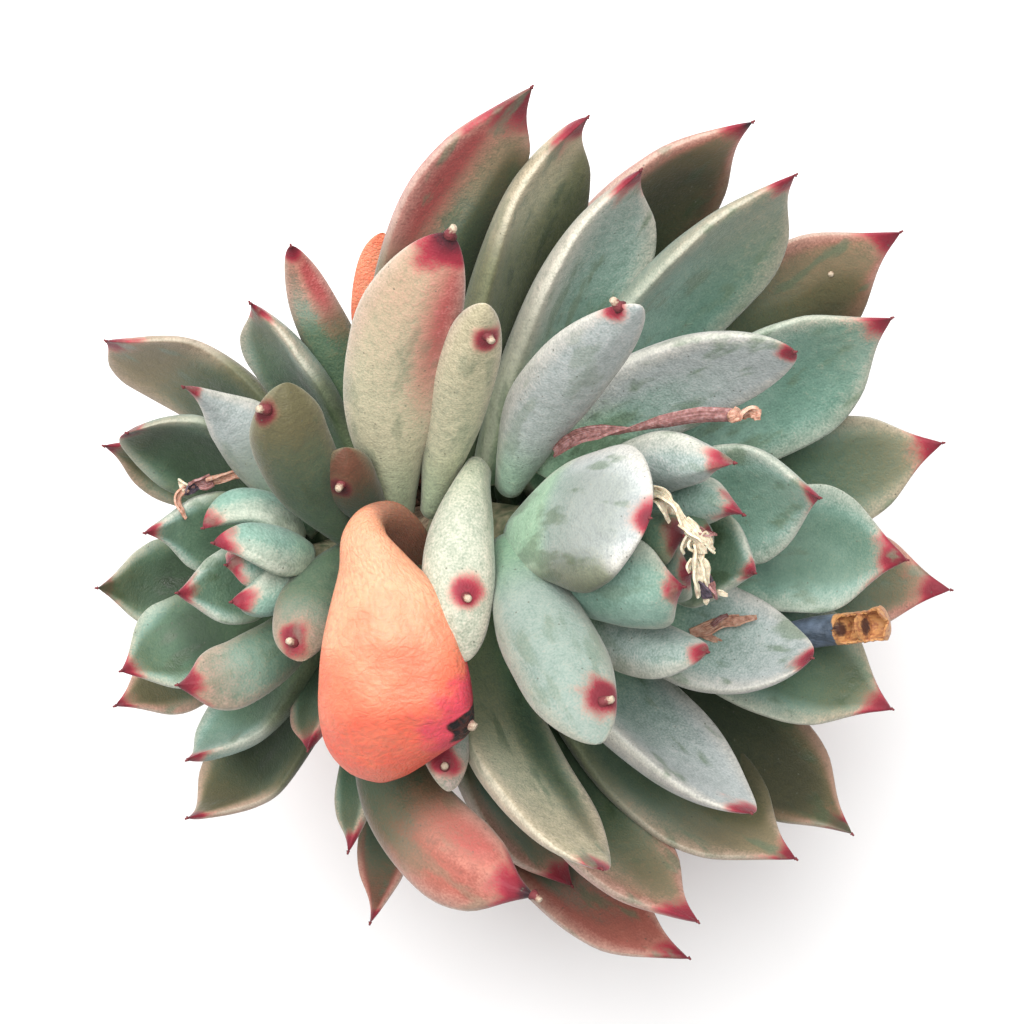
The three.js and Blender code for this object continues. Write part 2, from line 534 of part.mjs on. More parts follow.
const solids = {
  pot: potSolid(),
  soil: largestBody(without(soilSolid(), [trunkSolid(GAP)])),
  trunk: trunkSolid(0),
  large_head: largestBody(without(large(0), [
    trunkSolid(GAP), witheredLeaf(GAP), stalkSolid(GAP), strip(DRY_LEAF, GAP), flower(GAP),
    strip(DRY_BRACT, GAP)])),
  small_head: largestBody(without(small(0), [
    trunkSolid(GAP), witheredLeaf(GAP), large(GAP), strip(DRY_HOOK, GAP)])),
  withered_leaf: witheredLeaf(0),
  withered_leaf_behind: largestBody(without(sliverSolid(0), [trunkSolid(GAP), large(GAP), small(GAP)])),
  flower_stalk: stalkSolid(0),
  dry_leaf: strip(DRY_LEAF),
  dry_flower: flower(0),
  dry_bract: strip(DRY_BRACT),
  dry_hook: strip(DRY_HOOK),
};

const FINISH = {
  pot: [COLOURS.pot, 0.85],
  soil: [COLOURS.soil, 0.95],
  trunk: [COLOURS.bark, 0.9],
  large_head: [COLOURS.leaf, 0.6],
  small_head: [COLOURS.small_leaf, 0.6],
  withered_leaf: [COLOURS.withered, 0.6],
  withered_leaf_behind: [COLOURS.sliver, 0.6],
  flower_stalk: [COLOURS.stalk, 0.7],
  dry_leaf: [COLOURS.dry, 0.8],
  dry_flower: [COLOURS.flower, 0.8],
  dry_bract: [COLOURS.dry, 0.8],
  dry_hook: [COLOURS.dry, 0.8],
};

const group = new THREE.Group();
group.name = 'potted_echeveria';
for (const [name, solid] of Object.entries(solids)) {
  const [color, roughness] = FINISH[name];
  const material = new THREE.MeshStandardMaterial({ color, roughness, metalness: 0 });
  const mesh = new THREE.Mesh(geometryOf(solid), material);
  mesh.name = name;
  group.add(mesh);
}

export default group;
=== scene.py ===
# %% [markdown]
# # A potted ratam echeveria
# Two rosettes of thick, pointed leaves share one short forked trunk in a plain clay pot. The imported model
# gives the place and size of every piece. This script dresses it: each piece is built again with a finer
# surface in the same place, and gets a finish worked out from what the real surface is. Blender counts in
# metres. The origin is the middle of the pot's underside, with Z up.

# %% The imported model
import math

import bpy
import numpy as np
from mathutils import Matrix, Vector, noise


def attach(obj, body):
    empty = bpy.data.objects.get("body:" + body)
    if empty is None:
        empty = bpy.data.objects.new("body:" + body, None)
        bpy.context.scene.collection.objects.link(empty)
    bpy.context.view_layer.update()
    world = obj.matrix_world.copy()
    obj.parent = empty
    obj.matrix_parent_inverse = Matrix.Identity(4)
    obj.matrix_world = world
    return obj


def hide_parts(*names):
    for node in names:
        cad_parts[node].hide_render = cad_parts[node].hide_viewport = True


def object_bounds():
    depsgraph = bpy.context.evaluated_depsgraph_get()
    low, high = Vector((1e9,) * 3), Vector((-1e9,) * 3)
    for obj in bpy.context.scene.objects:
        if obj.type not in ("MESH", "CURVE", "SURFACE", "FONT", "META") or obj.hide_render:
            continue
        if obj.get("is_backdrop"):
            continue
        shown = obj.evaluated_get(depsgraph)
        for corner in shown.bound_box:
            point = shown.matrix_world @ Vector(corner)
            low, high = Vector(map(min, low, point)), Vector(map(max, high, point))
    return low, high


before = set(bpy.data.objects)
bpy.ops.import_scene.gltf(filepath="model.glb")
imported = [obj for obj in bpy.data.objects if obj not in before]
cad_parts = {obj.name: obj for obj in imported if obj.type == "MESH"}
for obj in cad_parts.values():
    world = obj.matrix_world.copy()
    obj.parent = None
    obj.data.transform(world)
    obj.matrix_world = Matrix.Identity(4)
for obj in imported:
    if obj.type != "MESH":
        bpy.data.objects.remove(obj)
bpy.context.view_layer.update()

# %% [markdown]
# ## Tools and units
# numpy does the arithmetic on many vertices at once. Sizes below are written in millimetres, as a grower
# would measure them, and become metres only where they enter a mesh.

MM = 0.001

# %% [markdown]
# ## Camera
# The plant is seen from straight above. `seen` turns a place in that view, as pixels of a square picture of
# 1024 with a height, into millimetres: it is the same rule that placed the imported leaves, so a leaf lands
# on its node. Heights in the view are counted from LIFT above the ground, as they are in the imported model.
# The plant's axis isn't in the middle of the picture, so the lens is shifted a little, as a view camera's
# is. The lens itself follows from how many pixels a millimetre takes at a known range.

# %% Camera
PICTURE_SIDE = 1024
VIEW_AXIS = (505, 530)
VIEW_SCALE = 7.0
VIEW_RANGE = 450.0
VIEW_LEVEL = 105.0
LIFT = 8.0
SENSOR = 36.0


def seen(place):
    """A place in the view, (pixel x, pixel y, height), as a point in millimetres."""
    x, y, height = place
    scale = (VIEW_RANGE - (height - VIEW_LEVEL)) / VIEW_RANGE / VIEW_SCALE
    return np.array([(x - VIEW_AXIS[0]) * scale, -(y - VIEW_AXIS[1]) * scale, height + LIFT])


def drawn(points):
    """The pixels at which points, in millimetres, are drawn."""
    scale = VIEW_RANGE / (VIEW_RANGE - (points[:, 2] - LIFT - VIEW_LEVEL)) * VIEW_SCALE
    return np.stack([VIEW_AXIS[0] + points[:, 0] * scale, VIEW_AXIS[1] - points[:, 1] * scale], axis=1)


lens = bpy.data.cameras.new("camera")
lens.sensor_width = SENSOR
lens.lens = SENSOR * VIEW_SCALE * VIEW_RANGE / PICTURE_SIDE
lens.shift_x = (PICTURE_SIDE / 2 - VIEW_AXIS[0]) / PICTURE_SIDE
lens.shift_y = (VIEW_AXIS[1] - PICTURE_SIDE / 2) / PICTURE_SIDE
camera = bpy.data.objects.new("camera", lens)
camera.location = (0, 0, (VIEW_RANGE + VIEW_LEVEL + LIFT) * MM)
bpy.context.scene.collection.objects.link(camera)
bpy.context.scene.camera = camera
print("lens", round(lens.lens, 1), "mm")

# %% [markdown]
# ## Colours and nodes
# Colours are picked as sRGB hex codes, as on a paint chart, while Blender mixes light in linear values, so
# one function converts them. Another adds a shader node with its settings and links. Every finish below is
# built with these two.

# %% Colour and node helpers
def colour(code):
    """An sRGB hex code as the linear colour that a socket takes."""
    channels = [int(code[i:i + 2], 16) / 255 for i in (1, 3, 5)]
    return tuple(c / 12.92 if c <= 0.04045 else ((c + 0.055) / 1.055) ** 2.4 for c in channels) + (1.0,)


def node(tree, kind, sockets=None, **settings):
    """Adds a node, sets its options, and gives each named socket a value or a link."""
    made = tree.nodes.new(kind)
    for name, value in settings.items():
        setattr(made, name, value)
    for name, value in (sockets or {}).items():
        if isinstance(value, bpy.types.NodeSocket):
            tree.links.new(value, made.inputs[name])
        else:
            made.inputs[name].default_value = value
    return made


def new_finish(name, roughness, **constants):
    """A material with a Principled shader, and the parts of it that the rest of a finish hangs on."""
    material = bpy.data.materials.new(name)
    material.use_nodes = True
    shader = material.node_tree.nodes["Principled BSDF"]
    shader.inputs["Roughness"].default_value = roughness
    for socket, value in constants.items():
        shader.inputs[socket.replace("_", " ")].default_value = value
    return material, material.node_tree, shader


print("half-bright grey in linear light", round(colour("#808080")[0], 3))

# %% [markdown]
# ## Floor and light
# The plant stands on a white sheet in soft daylight. One lamp as big as a window hangs high to the upper
# left of the view: what faces it is bright, and the hollows and gaps on the other side go dark. Its size
# makes the floor shadow so soft that the sheet stays nearly white all over. A plain white sky fills the
# rest. The Standard view keeps white paper white. Lamp and floor are as big as a room's, so they are given
# in metres.

# %% Floor and light
SKY_STRENGTH = 0.47
LAMP_POWER = 19
LAMP_SIZE = 0.95
LAMP_RANGE = 0.9
LAMP_AIM = 0.09
LAMP_BEARING = math.radians(114)
LAMP_HEIGHT = math.radians(66)
FLOOR_SIDE = 6.0

scene = bpy.context.scene
scene.view_settings.view_transform = "Standard"

sky = bpy.data.worlds.new("white_sky")
sky.use_nodes = True
sky.node_tree.nodes["Background"].inputs["Color"].default_value = colour("#ffffff")
sky.node_tree.nodes["Background"].inputs["Strength"].default_value = SKY_STRENGTH
scene.world = sky

lamp_data = bpy.data.lights.new("window", "AREA")
lamp_data.size = LAMP_SIZE
lamp_data.energy = LAMP_POWER
lamp = bpy.data.objects.new("window", lamp_data)
towards_lamp = Vector((
    math.cos(LAMP_BEARING) * math.cos(LAMP_HEIGHT),
    math.sin(LAMP_BEARING) * math.cos(LAMP_HEIGHT),
    math.sin(LAMP_HEIGHT)))
lamp.location = towards_lamp * LAMP_RANGE + Vector((0, 0, LAMP_AIM))
lamp.rotation_mode = "QUATERNION"
lamp.rotation_quaternion = towards_lamp.to_track_quat("Z", "Y")
scene.collection.objects.link(lamp)

bpy.ops.object.select_all(action="DESELECT")
bpy.ops.mesh.primitive_plane_add(size=FLOOR_SIDE, location=(0, 0, 0))
floor = bpy.context.object
floor.name = "floor"
paper, _, paper_shader = new_finish("matt_white_paper", roughness=0.9)
paper_shader.inputs["Base Color"].default_value = colour("#f6f6f6")
floor.data.materials.append(paper)
floor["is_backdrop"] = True
print("lamp", LAMP_POWER, "W, sky", SKY_STRENGTH)

# %% [markdown]
# ## Smooth steps, lines and noise
# A living thing has no straight edge, so most shapes below come from a few small tools. One rises smoothly
# between two values, one brings arrows to length 1, two follow a smooth line through given places and tell
# its sides, and one gives soft noise. A Blender curve could draw the line too, but here its places are needed
# at any share of its length.

# %% Tools for shaping
def ease(value, low, high):
    """Rises smoothly from 0 at low to 1 at high."""
    share = np.clip((value - low) / (high - low), 0, 1)
    return share * share * (3 - 2 * share)


def unit(vectors):
    """Vectors at length 1."""
    return vectors / np.maximum(np.linalg.norm(vectors, axis=-1, keepdims=True), 1e-9)


def route(points, shares):
    """Places along a smooth line through listed points: a Catmull-Rom curve."""
    points = np.array(points, float)
    padded = np.vstack([2 * points[0] - points[1], points, 2 * points[-1] - points[-2]])
    spans = len(points) - 1
    at = np.clip(np.asarray(shares, float), 0, 1) * spans
    first = np.minimum(at.astype(int), spans - 1)
    t = (at - first)[:, None]
    a, b, c, d = (padded[first + i] for i in range(4))
    return 0.5 * (2 * b + (c - a) * t + (2 * a - 5 * b + 4 * c - d) * t**2 + (3 * b - a - 3 * c + d) * t**3)


def beside(line, along):
    """Places along a line, and the directions to its side and upwards from it there."""
    ahead = unit(route(line, along + 0.01) - route(line, along - 0.01))
    level = unit(np.cross(ahead, (0, 0, 1)))
    return route(line, along), level, np.cross(level, ahead)


def rough(points, size_mm, seed):
    """Smooth noise, about -1 to 1, at points in millimetres."""
    return np.array([noise.noise(Vector(p) / size_mm + Vector((seed, 0, 0))) for p in points])


print("a smooth step at a quarter of its rise", ease(0.25, 0, 1))

# %% [markdown]
# ## Vertices and the numbers on them
# Blender hands over a mesh's vertices as one long list, and numpy moves them all at once. Each vertex can
# also carry a number, such as how far it lies from the leaf's tip. The piece's material reads it, so that
# colour follows the form.

# %% Reading, moving and marking vertices
def vertices(piece):
    """A piece's vertices in millimetres."""
    flat = np.empty(len(piece.data.vertices) * 3)
    piece.data.vertices.foreach_get("co", flat)
    return flat.reshape(-1, 3) / MM


def set_vertices(piece, points):
    """Moves a piece's vertices to points in millimetres."""
    piece.data.vertices.foreach_set("co", (points * MM).ravel())
    piece.data.update()


def mark(piece, name, values):
    """Writes a number or a vector on each vertex, for the material to read."""
    kind, field = ("FLOAT_VECTOR", "vector") if np.ndim(values) == 2 else ("FLOAT", "value")
    if name in piece.data.attributes:
        piece.data.attributes.remove(piece.data.attributes[name])
    attribute = piece.data.attributes.new(name, kind, "POINT")
    attribute.data.foreach_set(field, np.asarray(values, float).ravel())


print("corners of the floor, in millimetres", vertices(floor)[:, :2].tolist())

# %% [markdown]
# ## Handling pieces
# An operator acts on whatever is selected, so every step first says what that is. What repeats on the plant
# is copied from one start, and each copy gets a mesh of its own. A seam left open by rolling or capping is
# closed by merging its doubled vertices, and then all faces can be turned outwards.

# %% Selecting, copying, closing and joining
def only(piece):
    """Makes a piece the one selected and active object."""
    bpy.ops.object.select_all(action="DESELECT")
    piece.select_set(True)
    bpy.context.view_layer.objects.active = piece


def copy_of(start, name, points):
    """A copy of a start with its own mesh, whose vertices are moved to points in millimetres."""
    piece = bpy.data.objects.new(name, start.data.copy())
    scene.collection.objects.link(piece)
    set_vertices(piece, points)
    return piece


def close_seams(piece, gap):
    """Merges vertices that are less than a gap in millimetres apart, and turns all faces outwards."""
    only(piece)
    bpy.ops.object.mode_set(mode="EDIT")
    bpy.ops.mesh.select_all(action="SELECT")
    bpy.ops.mesh.remove_doubles(threshold=gap * MM)
    bpy.ops.mesh.normals_make_consistent(inside=False)
    bpy.ops.object.mode_set(mode="OBJECT")


def apply_modifiers(piece):
    """Applies the piece's modifiers in order."""
    only(piece)
    for modifier in list(piece.modifiers):
        bpy.ops.object.modifier_apply(modifier=modifier.name)


def place_in_mesh(piece):
    """Puts the object's own move, turn and size into its mesh, so the object sits at the origin."""
    only(piece)
    bpy.ops.object.transform_apply(location=True, rotation=True, scale=True)


def joined(name, parts):
    """Joins parts into the first of them."""
    bpy.ops.object.select_all(action="DESELECT")
    for part in parts:
        part.select_set(True)
    bpy.context.view_layer.objects.active = parts[0]
    if len(parts) > 1:
        bpy.ops.object.join()
    parts[0].name = name
    return parts[0]


# %% [markdown]
# ## Handing a piece over
# Each finished piece is handed over in the same way: it rides on the plant's one body and stands for its
# imported node. An edge of a closed skin has two faces, so a count of the other edges shows whether the skin
# is closed.

# %% Handing over
def hand_over(piece, slot, *nodes):
    """Seats the piece on the plant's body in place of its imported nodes, and prints what it is."""
    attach(piece, "root")
    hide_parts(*nodes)
    piece.data.calc_loop_triangles()
    uses = np.zeros(len(piece.data.edges), int)
    edges = np.empty(len(piece.data.loops), int)
    piece.data.loops.foreach_get("edge_index", edges)
    np.add.at(uses, edges, 1)
    print(piece.name, len(piece.data.loop_triangles), "triangles,", int((uses != 2).sum()), "open edges")


# %% [markdown]
# ## One leaf blank
# A leaf of this plant is a thick blade: flat or a little hollow on its face, round and keeled behind,
# narrow at the root and widest near its shoulder, and drawn out to a short point. More than seventy leaves
# differ only in length, bend and roll, so one ball is made, with its poles at root and tip, and each leaf
# is a copy whose vertices are laid round that leaf's own midrib. An edit-mode bend would turn all the
# leaves alike, and a curve modifier would lose the roll that shows some of the leaves' backs. The rings
# crowd towards the tip, where the outline changes fastest.

# %% The blank
BLANK_SIDES = 36
BLANK_RINGS = 42
CROWDING = 1.35

bpy.ops.object.select_all(action="DESELECT")
bpy.ops.mesh.primitive_uv_sphere_add(segments=BLANK_SIDES, ring_count=BLANK_RINGS, radius=1.0)
bpy.ops.object.shade_smooth()
blank = bpy.context.object
ball = vertices(blank) * MM
BLANK_ANGLE = np.arctan2(ball[:, 1], ball[:, 0])
BLANK_ALONG = 1 - (1 - np.arccos(np.clip(-ball[:, 2], -1, 1)) / math.pi) ** CROWDING
print("leaf blank", len(ball), "vertices")

# %% [markdown]
# ## Outline and thickness
# These two rules are most of a leaf's form. The half-width rises from 44% at the root to the shoulder at
# 72% of the length. From there the margins close in an arch that turns hollow near its end, and that draws
# out the point. Some leaves have a round end instead, and are widest near their middle. The thickness
# swells over the first third of the leaf and fades to nothing at the tip. Both are formulas and not drawn
# curves, so that every leaf can have its own shoulder and width.

# %% Outline and thickness
SHOULDER = 0.72
ROOT_SHARE = 0.44
HOOD_SHOULDER = 0.56
HOOD_ROOT_SHARE = 0.34
CUSP = 0.38
SWELL_END = 0.35
ROOT_THICKNESS = 0.72
THICKNESS_GAINED = 0.28


def outline(along, rounded, shoulder, start):
    """Half-width of a leaf as a share of its widest, at each share of its length."""
    rising = start + (1 - start) * np.sin(math.pi / 2 * np.minimum(along / shoulder, 1)) ** 1.2
    past = np.clip((along - shoulder) / (1 - shoulder), 0, 1)
    if rounded:
        closing = np.maximum(0, 1 - past**2.3) ** 0.62
    else:
        closing = (1 - past**2) * (1 - CUSP * ease(past, 0.42, 0.9))
    return np.where(along < shoulder, rising, closing)


def thickness(along):
    """Thickness of a leaf as a share of its thickest, at each share of its length."""
    swelling = ROOT_THICKNESS + THICKNESS_GAINED * np.sin(math.pi / 2 * np.minimum(along / SWELL_END, 1))
    fading = np.maximum(0, 1 - (np.maximum(along - SWELL_END, 0) / (1 - SWELL_END)) ** 2.2) ** 0.8
    return np.where(along < SWELL_END, swelling, fading)


quarters = np.linspace(0, 1, 5)
print("half-width at each quarter", outline(quarters, False, SHOULDER, ROOT_SHARE).round(2))
print("thickness at each quarter", thickness(quarters).round(2))

# %% [markdown]
# ## Midrib
# A leaf's midrib is one smooth bend from its root through a middle place to its tip. Its face looks to the
# axis of the head, as a leaf turned to the light does, and `roll` turns it about its own length. A leaf
# that is rolled far enough, or stands up over the heart, shows the view its round back. The outline is
# counted along the midrib as it is seen from above, because the tips bend up and would look blunt
# otherwise.

# %% Midrib
BACK_UP = 45


def midrib(leaf, head):
    """The leaf's midrib as a bent line from root to tip, and the way its face looks."""
    root, middle, tip = leaf["line"]
    chord = tip - root
    apex = seen(head["apex"])
    axis = unit(seen(head["ring"]) - apex)
    halfway = (root + tip) / 2
    foot = apex + axis * np.dot(halfway - apex, axis)
    face = axis * head["forward"] - (halfway - foot)
    face = unit(face - chord * np.dot(face, chord) / np.dot(chord, chord))
    side = np.cross(chord, face)
    turn = math.radians(leaf.get("roll", 0)) * (1 if side[2] >= 0 else -1)
    face = face * math.cos(turn) + np.cross(unit(chord), face) * math.sin(turn)
    control = 2 * middle - 0.5 * root - 0.5 * tip
    return root, control, tip, face


def bend(root, control, tip, steps):
    """Places on the midrib at steps from 0 to 1."""
    return (1 - steps) ** 2 * root + 2 * steps * (1 - steps) * control + steps**2 * tip


def shows_back(leaf):
    """Whether the view sees this leaf's round back, as on the ones that stand up and roll over."""
    return leaf.get("roll", 0) >= BACK_UP or leaf.get("back_up", False)


def seen_share(root, control, tip, along):
    """Shares of the leaf's length as counted from above, at shares of the midrib's own parameter."""
    steps = np.linspace(0, 1, 200)[:, None]
    rib = bend(root, control, tip, steps)[:, :2]
    run = np.concatenate([[0], np.cumsum(np.linalg.norm(np.diff(rib, axis=0), axis=1))])
    return np.interp(along, steps[:, 0], run / run[-1])


print("rolled by", BACK_UP, "degrees or more, a leaf shows its back")

# %% [markdown]
# ## Section
# Round the midrib lies the leaf's section. A third of the thickness lies above the midrib and the rest
# below. The face is flat or cupped, and the back is round, with a low keel near the tip that catches the
# light. The margins wave very slightly. The blank's own angle and length say where on the leaf each vertex
# belongs.

# %% Section of a leaf
FACE_SHARE = 0.35
FACE_FLATNESS = 0.78
BACK_ROUNDNESS = 0.9
KEEL = 0.15
ROLL_PER_WAVE = 12


def blade(leaf, head, along, angle):
    """Points on a leaf's skin, at shares of its length and angles round it, and the midrib beside them."""
    root, control, tip, face = midrib(leaf, head)
    s = along[:, None]
    rib = bend(root, control, tip, s)
    tangent = unit((1 - s) * (control - root) + s * (tip - control))
    up = unit(face - tangent * (tangent @ face)[:, None])
    side = np.cross(up, tangent)
    width = leaf.get("width", head["width"])
    hooded = "mucro" in leaf
    counted = along if hooded else seen_share(root, control, tip, along)
    rounded = hooded or leaf.get("blunt", False)
    shoulder, start = (HOOD_SHOULDER, HOOD_ROOT_SHARE) if rounded else (SHOULDER, ROOT_SHARE)
    shape = outline(counted, rounded, leaf.get("shoulder", shoulder), leaf.get("start", start))
    half = width / 2 * shape
    deep = leaf.get("thick", head["thick"]) * thickness(counted)
    rise = np.sin(angle)
    across = np.cos(angle)
    upper = (rise > 0) != shows_back(leaf)
    share = np.where(upper, FACE_SHARE, 1 - FACE_SHARE)
    power = np.where(upper, FACE_FLATNESS, BACK_ROUNDNESS)
    cup = leaf.get("cup", head["cup"]) * width * across**2 * (2 * half / width) ** 2
    cup = cup * (1 - 0.6 * ease(along, 0.75, 1))
    keel = KEEL * deep * (1 - np.abs(across)) ** 2 * ease(along, 0.45, 0.85) * np.sign(rise) * ~upper
    lift = share * deep * np.sign(rise) * np.abs(rise) ** power + cup + keel
    half = half * (1 + leaf["wave"] * np.sin(along * 17 + leaf["seed"] * 9 + np.sign(across)))
    rolling = leaf["wave"] * ROLL_PER_WAVE * np.sin(along * 11 + leaf["seed"] * 5)
    lift = lift + rolling * across**2 * ease(along, 0.1, 0.4)
    return rib + side * (half * across)[:, None] + up * lift[:, None], rib, half * across, lift


print("share of the thickness above the midrib", FACE_SHARE)

# %% [markdown]
# ## Spots on a leaf
# Most points stand at the very end of their leaf. A hooded leaf's stands on its back, and one leaf has a
# wart: these are found by the pixel at which the view shows them, as the nearest vertex on the upper side.
# Sides are told in the same way, as a direction in the view, because shade and blush fall on the plant from
# outside and not along each leaf.

# %% Spots and sides of a leaf
HOOD_PATCH_SHIFT = 0.8
HOOD_NIB = 1.7
PLAIN_NIB = 0.5
WART = 1.5
WART_SUNK = 0.9


def sideways(offsets, half_width, x, y):
    """How far offsets from the midrib reach towards a side of the view, in half-widths of the leaf."""
    return offsets[:, :2] @ unit(np.array([x, y])) / half_width


def surface_at(pixel, points, rib):
    """The spot on a leaf's upper side that is seen at a pixel, and which way the skin faces there."""
    out = unit(points - rib)
    miss = np.linalg.norm(drawn(points) - pixel, axis=1)
    miss[(out[:, 2] < 0.25) | (BLANK_ALONG < 0.5) | (BLANK_ALONG > 0.99)] = np.inf
    best = int(np.argmin(miss))
    return points[best], out[best]


def point_spot(leaf, points, rib):
    """Where a leaf's dry point stands, which way it leans, and the middle of the crimson about it."""
    tip = leaf["line"][2]
    ahead = unit(tip - leaf["line"][1])
    if "mucro" not in leaf:
        return tip, ahead, tip
    spot, out = surface_at(leaf["mucro"], points, rib)
    return spot, unit(out + 0.35 * ahead), spot - ahead * HOOD_PATCH_SHIFT


def dry_spots(leaf, points, rib):
    """A leaf's dry spots, its point and a wart, each with its name, place, lean, size and paleness."""
    spot, lean, _ = point_spot(leaf, points, rib)
    grown = "mucro" in leaf or "nib" in leaf
    size, paleness = (leaf.get("nib", HOOD_NIB), 1.0) if grown else (PLAIN_NIB, 0.45)
    spots = [("point", spot, lean, size, paleness)]
    if "wart" in leaf:
        spot, lean = surface_at(leaf["wart"], points, rib)
        spots.append(("wart", spot - lean * WART_SUNK, lean, WART, 1.0))
    return spots


print("a dry point is", PLAIN_NIB, "of full size, and", HOOD_NIB, "on a hooded leaf")

# %% [markdown]
# ## Numbers that colour reads
# On the plant, colour tells a leaf's age and how much sun it had. Young leaves are sea green under a lilac
# white bloom, old outer ones turn olive and brown with a salmon blush, roots stay mint, and every tip is
# crimson. Shade is painted into the colour as well: the hollows of the faces, the parts that lie low between
# other leaves and the sides in gaps are darkened as their shade would darken them. Each leaf below is given
# its own amounts of these, and here they become soft masks on its vertices. A picture painted on the leaf
# would do it too, but masks made by rule stay sharp at any size.

# %% Masks of age and shade
NO_SIDE = (1, 0, 9)
GAP_LEVELS = (76, 92)


def mark_tints(piece, leaf, head, offsets):
    """How much of each tint of age and light, and of painted shade, a spot has. Offsets lead to it from the
    midrib.
    """
    along = BLANK_ALONG
    rim = np.abs(np.cos(BLANK_ANGLE))
    face = np.sin(BLANK_ANGLE) * (-1 if shows_back(leaf) else 1)
    half_width = leaf.get("width", head["width"]) / 2
    olive, blush, bloom = leaf["tone"]

    x, y, turned_from = leaf.get("turned", NO_SIDE)
    turned = ease(sideways(offsets, half_width, x, y), turned_from - 0.22, turned_from + 0.22)
    middle = ease(face, -0.1, 0.55) * (1 - ease(rim, 0.4, 0.92)) * (1 - turned)
    behind = np.maximum(ease(-face, -0.25, 0.45), turned)
    mark(piece, "rim", rim)
    mark(piece, "wear", 0.55 + 0.45 * ease(face, -0.2, 0.4))
    mark(piece, "mint", leaf.get("mint", 1) * (1 - ease(along, 0.1, 0.55)) * (1 - 0.4 * behind))

    ageing = olive * (0.45 + 0.55 * ease(along, 0.3, 0.9) + 0.3 * ease(rim, 0.6, 1))
    mark(piece, "olive", ageing + 0.3 * ease(along, 0.6, 0.95) * (1 - bloom / 2))
    bleached = np.maximum(behind, 0.6 * ease(rim, 0.45, 0.9))
    mark(piece, "cream", leaf.get("cream", 0) * (0.25 + 0.75 * bleached))
    blushing = ease(along, 0.3, 1) + 0.6 * ease(rim, 0.6, 1) + 0.35 * ease(-face, 0, 1)
    mark(piece, "blush", blush * np.minimum(1.2, blushing) * (1 - 0.5 * middle))
    frost = 0.3 + 0.5 * ease(along, 0.25, 0.9) + 0.25 * ease(rim, 0.4, 0.95)
    back_frost = 0.95 - 0.4 * (1 - ease(along, 0.05, 0.4))
    mark(piece, "bloom", bloom * (frost + (back_frost - frost) * behind))

    x, y, streak = leaf.get("streak", (1, 0, 0))
    streaked = ease(sideways(offsets, half_width, x, y), -0.35, 0.45)
    mark(piece, "streak", streak * streaked * ease(along, 0.25, 0.85))

    # Painted shade, gathered in the deep mask: the hollow of the face, the root half of a leaf whose root
    # lies low between others, the side named by `shadow`, and `shade` over the whole leaf (below 0 it
    # lightens).
    hollow = middle * ease(along, 0.2, 0.55) * (1 - 0.6 * ease(along, 0.8, 0.98))
    lowness = 1 - ease(leaf["line"][0][2] - LIFT, *GAP_LEVELS)
    gap = lowness * (1 - ease(along, 0.35, 0.75))
    x, y, shadow_from = leaf.get("shadow", NO_SIDE)
    shadow = ease(sideways(offsets, half_width, x, y), shadow_from - 0.2, shadow_from + 0.5)
    shadow = shadow * (1 - ease(along, 0.75, 0.95))
    hollow_shade_amount = leaf.get("deep", head["deep"])
    mark(piece, "deep", hollow_shade_amount * hollow + leaf.get("shade", 0) + 1.4 * gap + 1.7 * shadow)


print("a root lower than", GAP_LEVELS[1], "mm lies partly in a gap")

# %% [markdown]
# ## Crimson ends
# The crimson lies round the dry point, a few millimetres wide, and runs a little further down the margins.
# Its edge is uneven in life, so noise stretches the distance from which it is worked out. At the point
# itself it goes nearly black. With these masks the rules for one leaf are complete.

# %% Crimson mask, and one whole leaf
RED_REACH = 1.35
RIM_REACH = 0.35
HOOD_CHAR = 0.28
PLAIN_CHAR = 0.55
SEED_SPACING = 1000


def mark_crimson(piece, leaf, points, spot, patch):
    """How crimson and how charred a spot is, from how far it lies from the dry point."""
    rim = np.abs(np.cos(BLANK_ANGLE))
    from_spot = np.linalg.norm(points - spot, axis=1)
    from_patch = np.linalg.norm(points - patch, axis=1) * (1 + 0.35 * rough(points, 2.4, leaf["seed"] * 50))
    plain = "mucro" not in leaf and "blunt" not in leaf
    reach = from_patch / leaf["red"] / (RED_REACH + RIM_REACH * ease(rim, 0.8, 1) if plain else 1)
    mark(piece, "red", 1 - ease(reach, 0.2, 1.05))
    charred = HOOD_CHAR if "mucro" in leaf else PLAIN_CHAR
    mark(piece, "char", leaf.get("char", 0.25) * (1 - ease(from_spot / leaf["red"], 0.1, charred)))


def leaf_piece(name, leaf, head):
    """A copy of the blank laid round this leaf's midrib, with its masks, and its dry spots."""
    points, rib, across, lift = blade(leaf, head, BLANK_ALONG, BLANK_ANGLE)
    piece = copy_of(blank, name, points)
    spot, _, patch = point_spot(leaf, points, rib)
    mark_tints(piece, leaf, head, points - rib)
    mark_crimson(piece, leaf, points, spot, patch)
    length = np.linalg.norm(leaf["line"][2] - leaf["line"][0])
    spread = np.stack([across, BLANK_ALONG * length, lift], axis=1)
    mark(piece, "leaf_mm", spread + leaf["seed"] * SEED_SPACING)
    return piece, dry_spots(leaf, points, rib)


print("on a pointed leaf the crimson reaches", RED_REACH, "to", RED_REACH + RIM_REACH, "times as far")

# %% [markdown]
# ## The dry point on each tip
# Every leaf ends in a tiny hard point that dries to brown and then to straw white. A cone is added. Two
# rings are cut round it in edit mode, and each is narrowed or widened and pushed off the axis, which leans
# it as if by hand. It is copied to all the tips. Hooded leaves have the biggest, standing on the back like
# a nib.

# %% The dry point
NIB_SIDES = 10
NIB_RADIUS = 0.62
NIB_END_RADIUS = 0.25
NIB_LENGTH = 1.1
NIB_STANDS = 0.22
NIB_RINGS = [
    dict(level=-0.2, width=0.82, shift=(0.05, 0)),
    dict(level=0.35, width=1.1, shift=(-0.06, 0.03)),
]

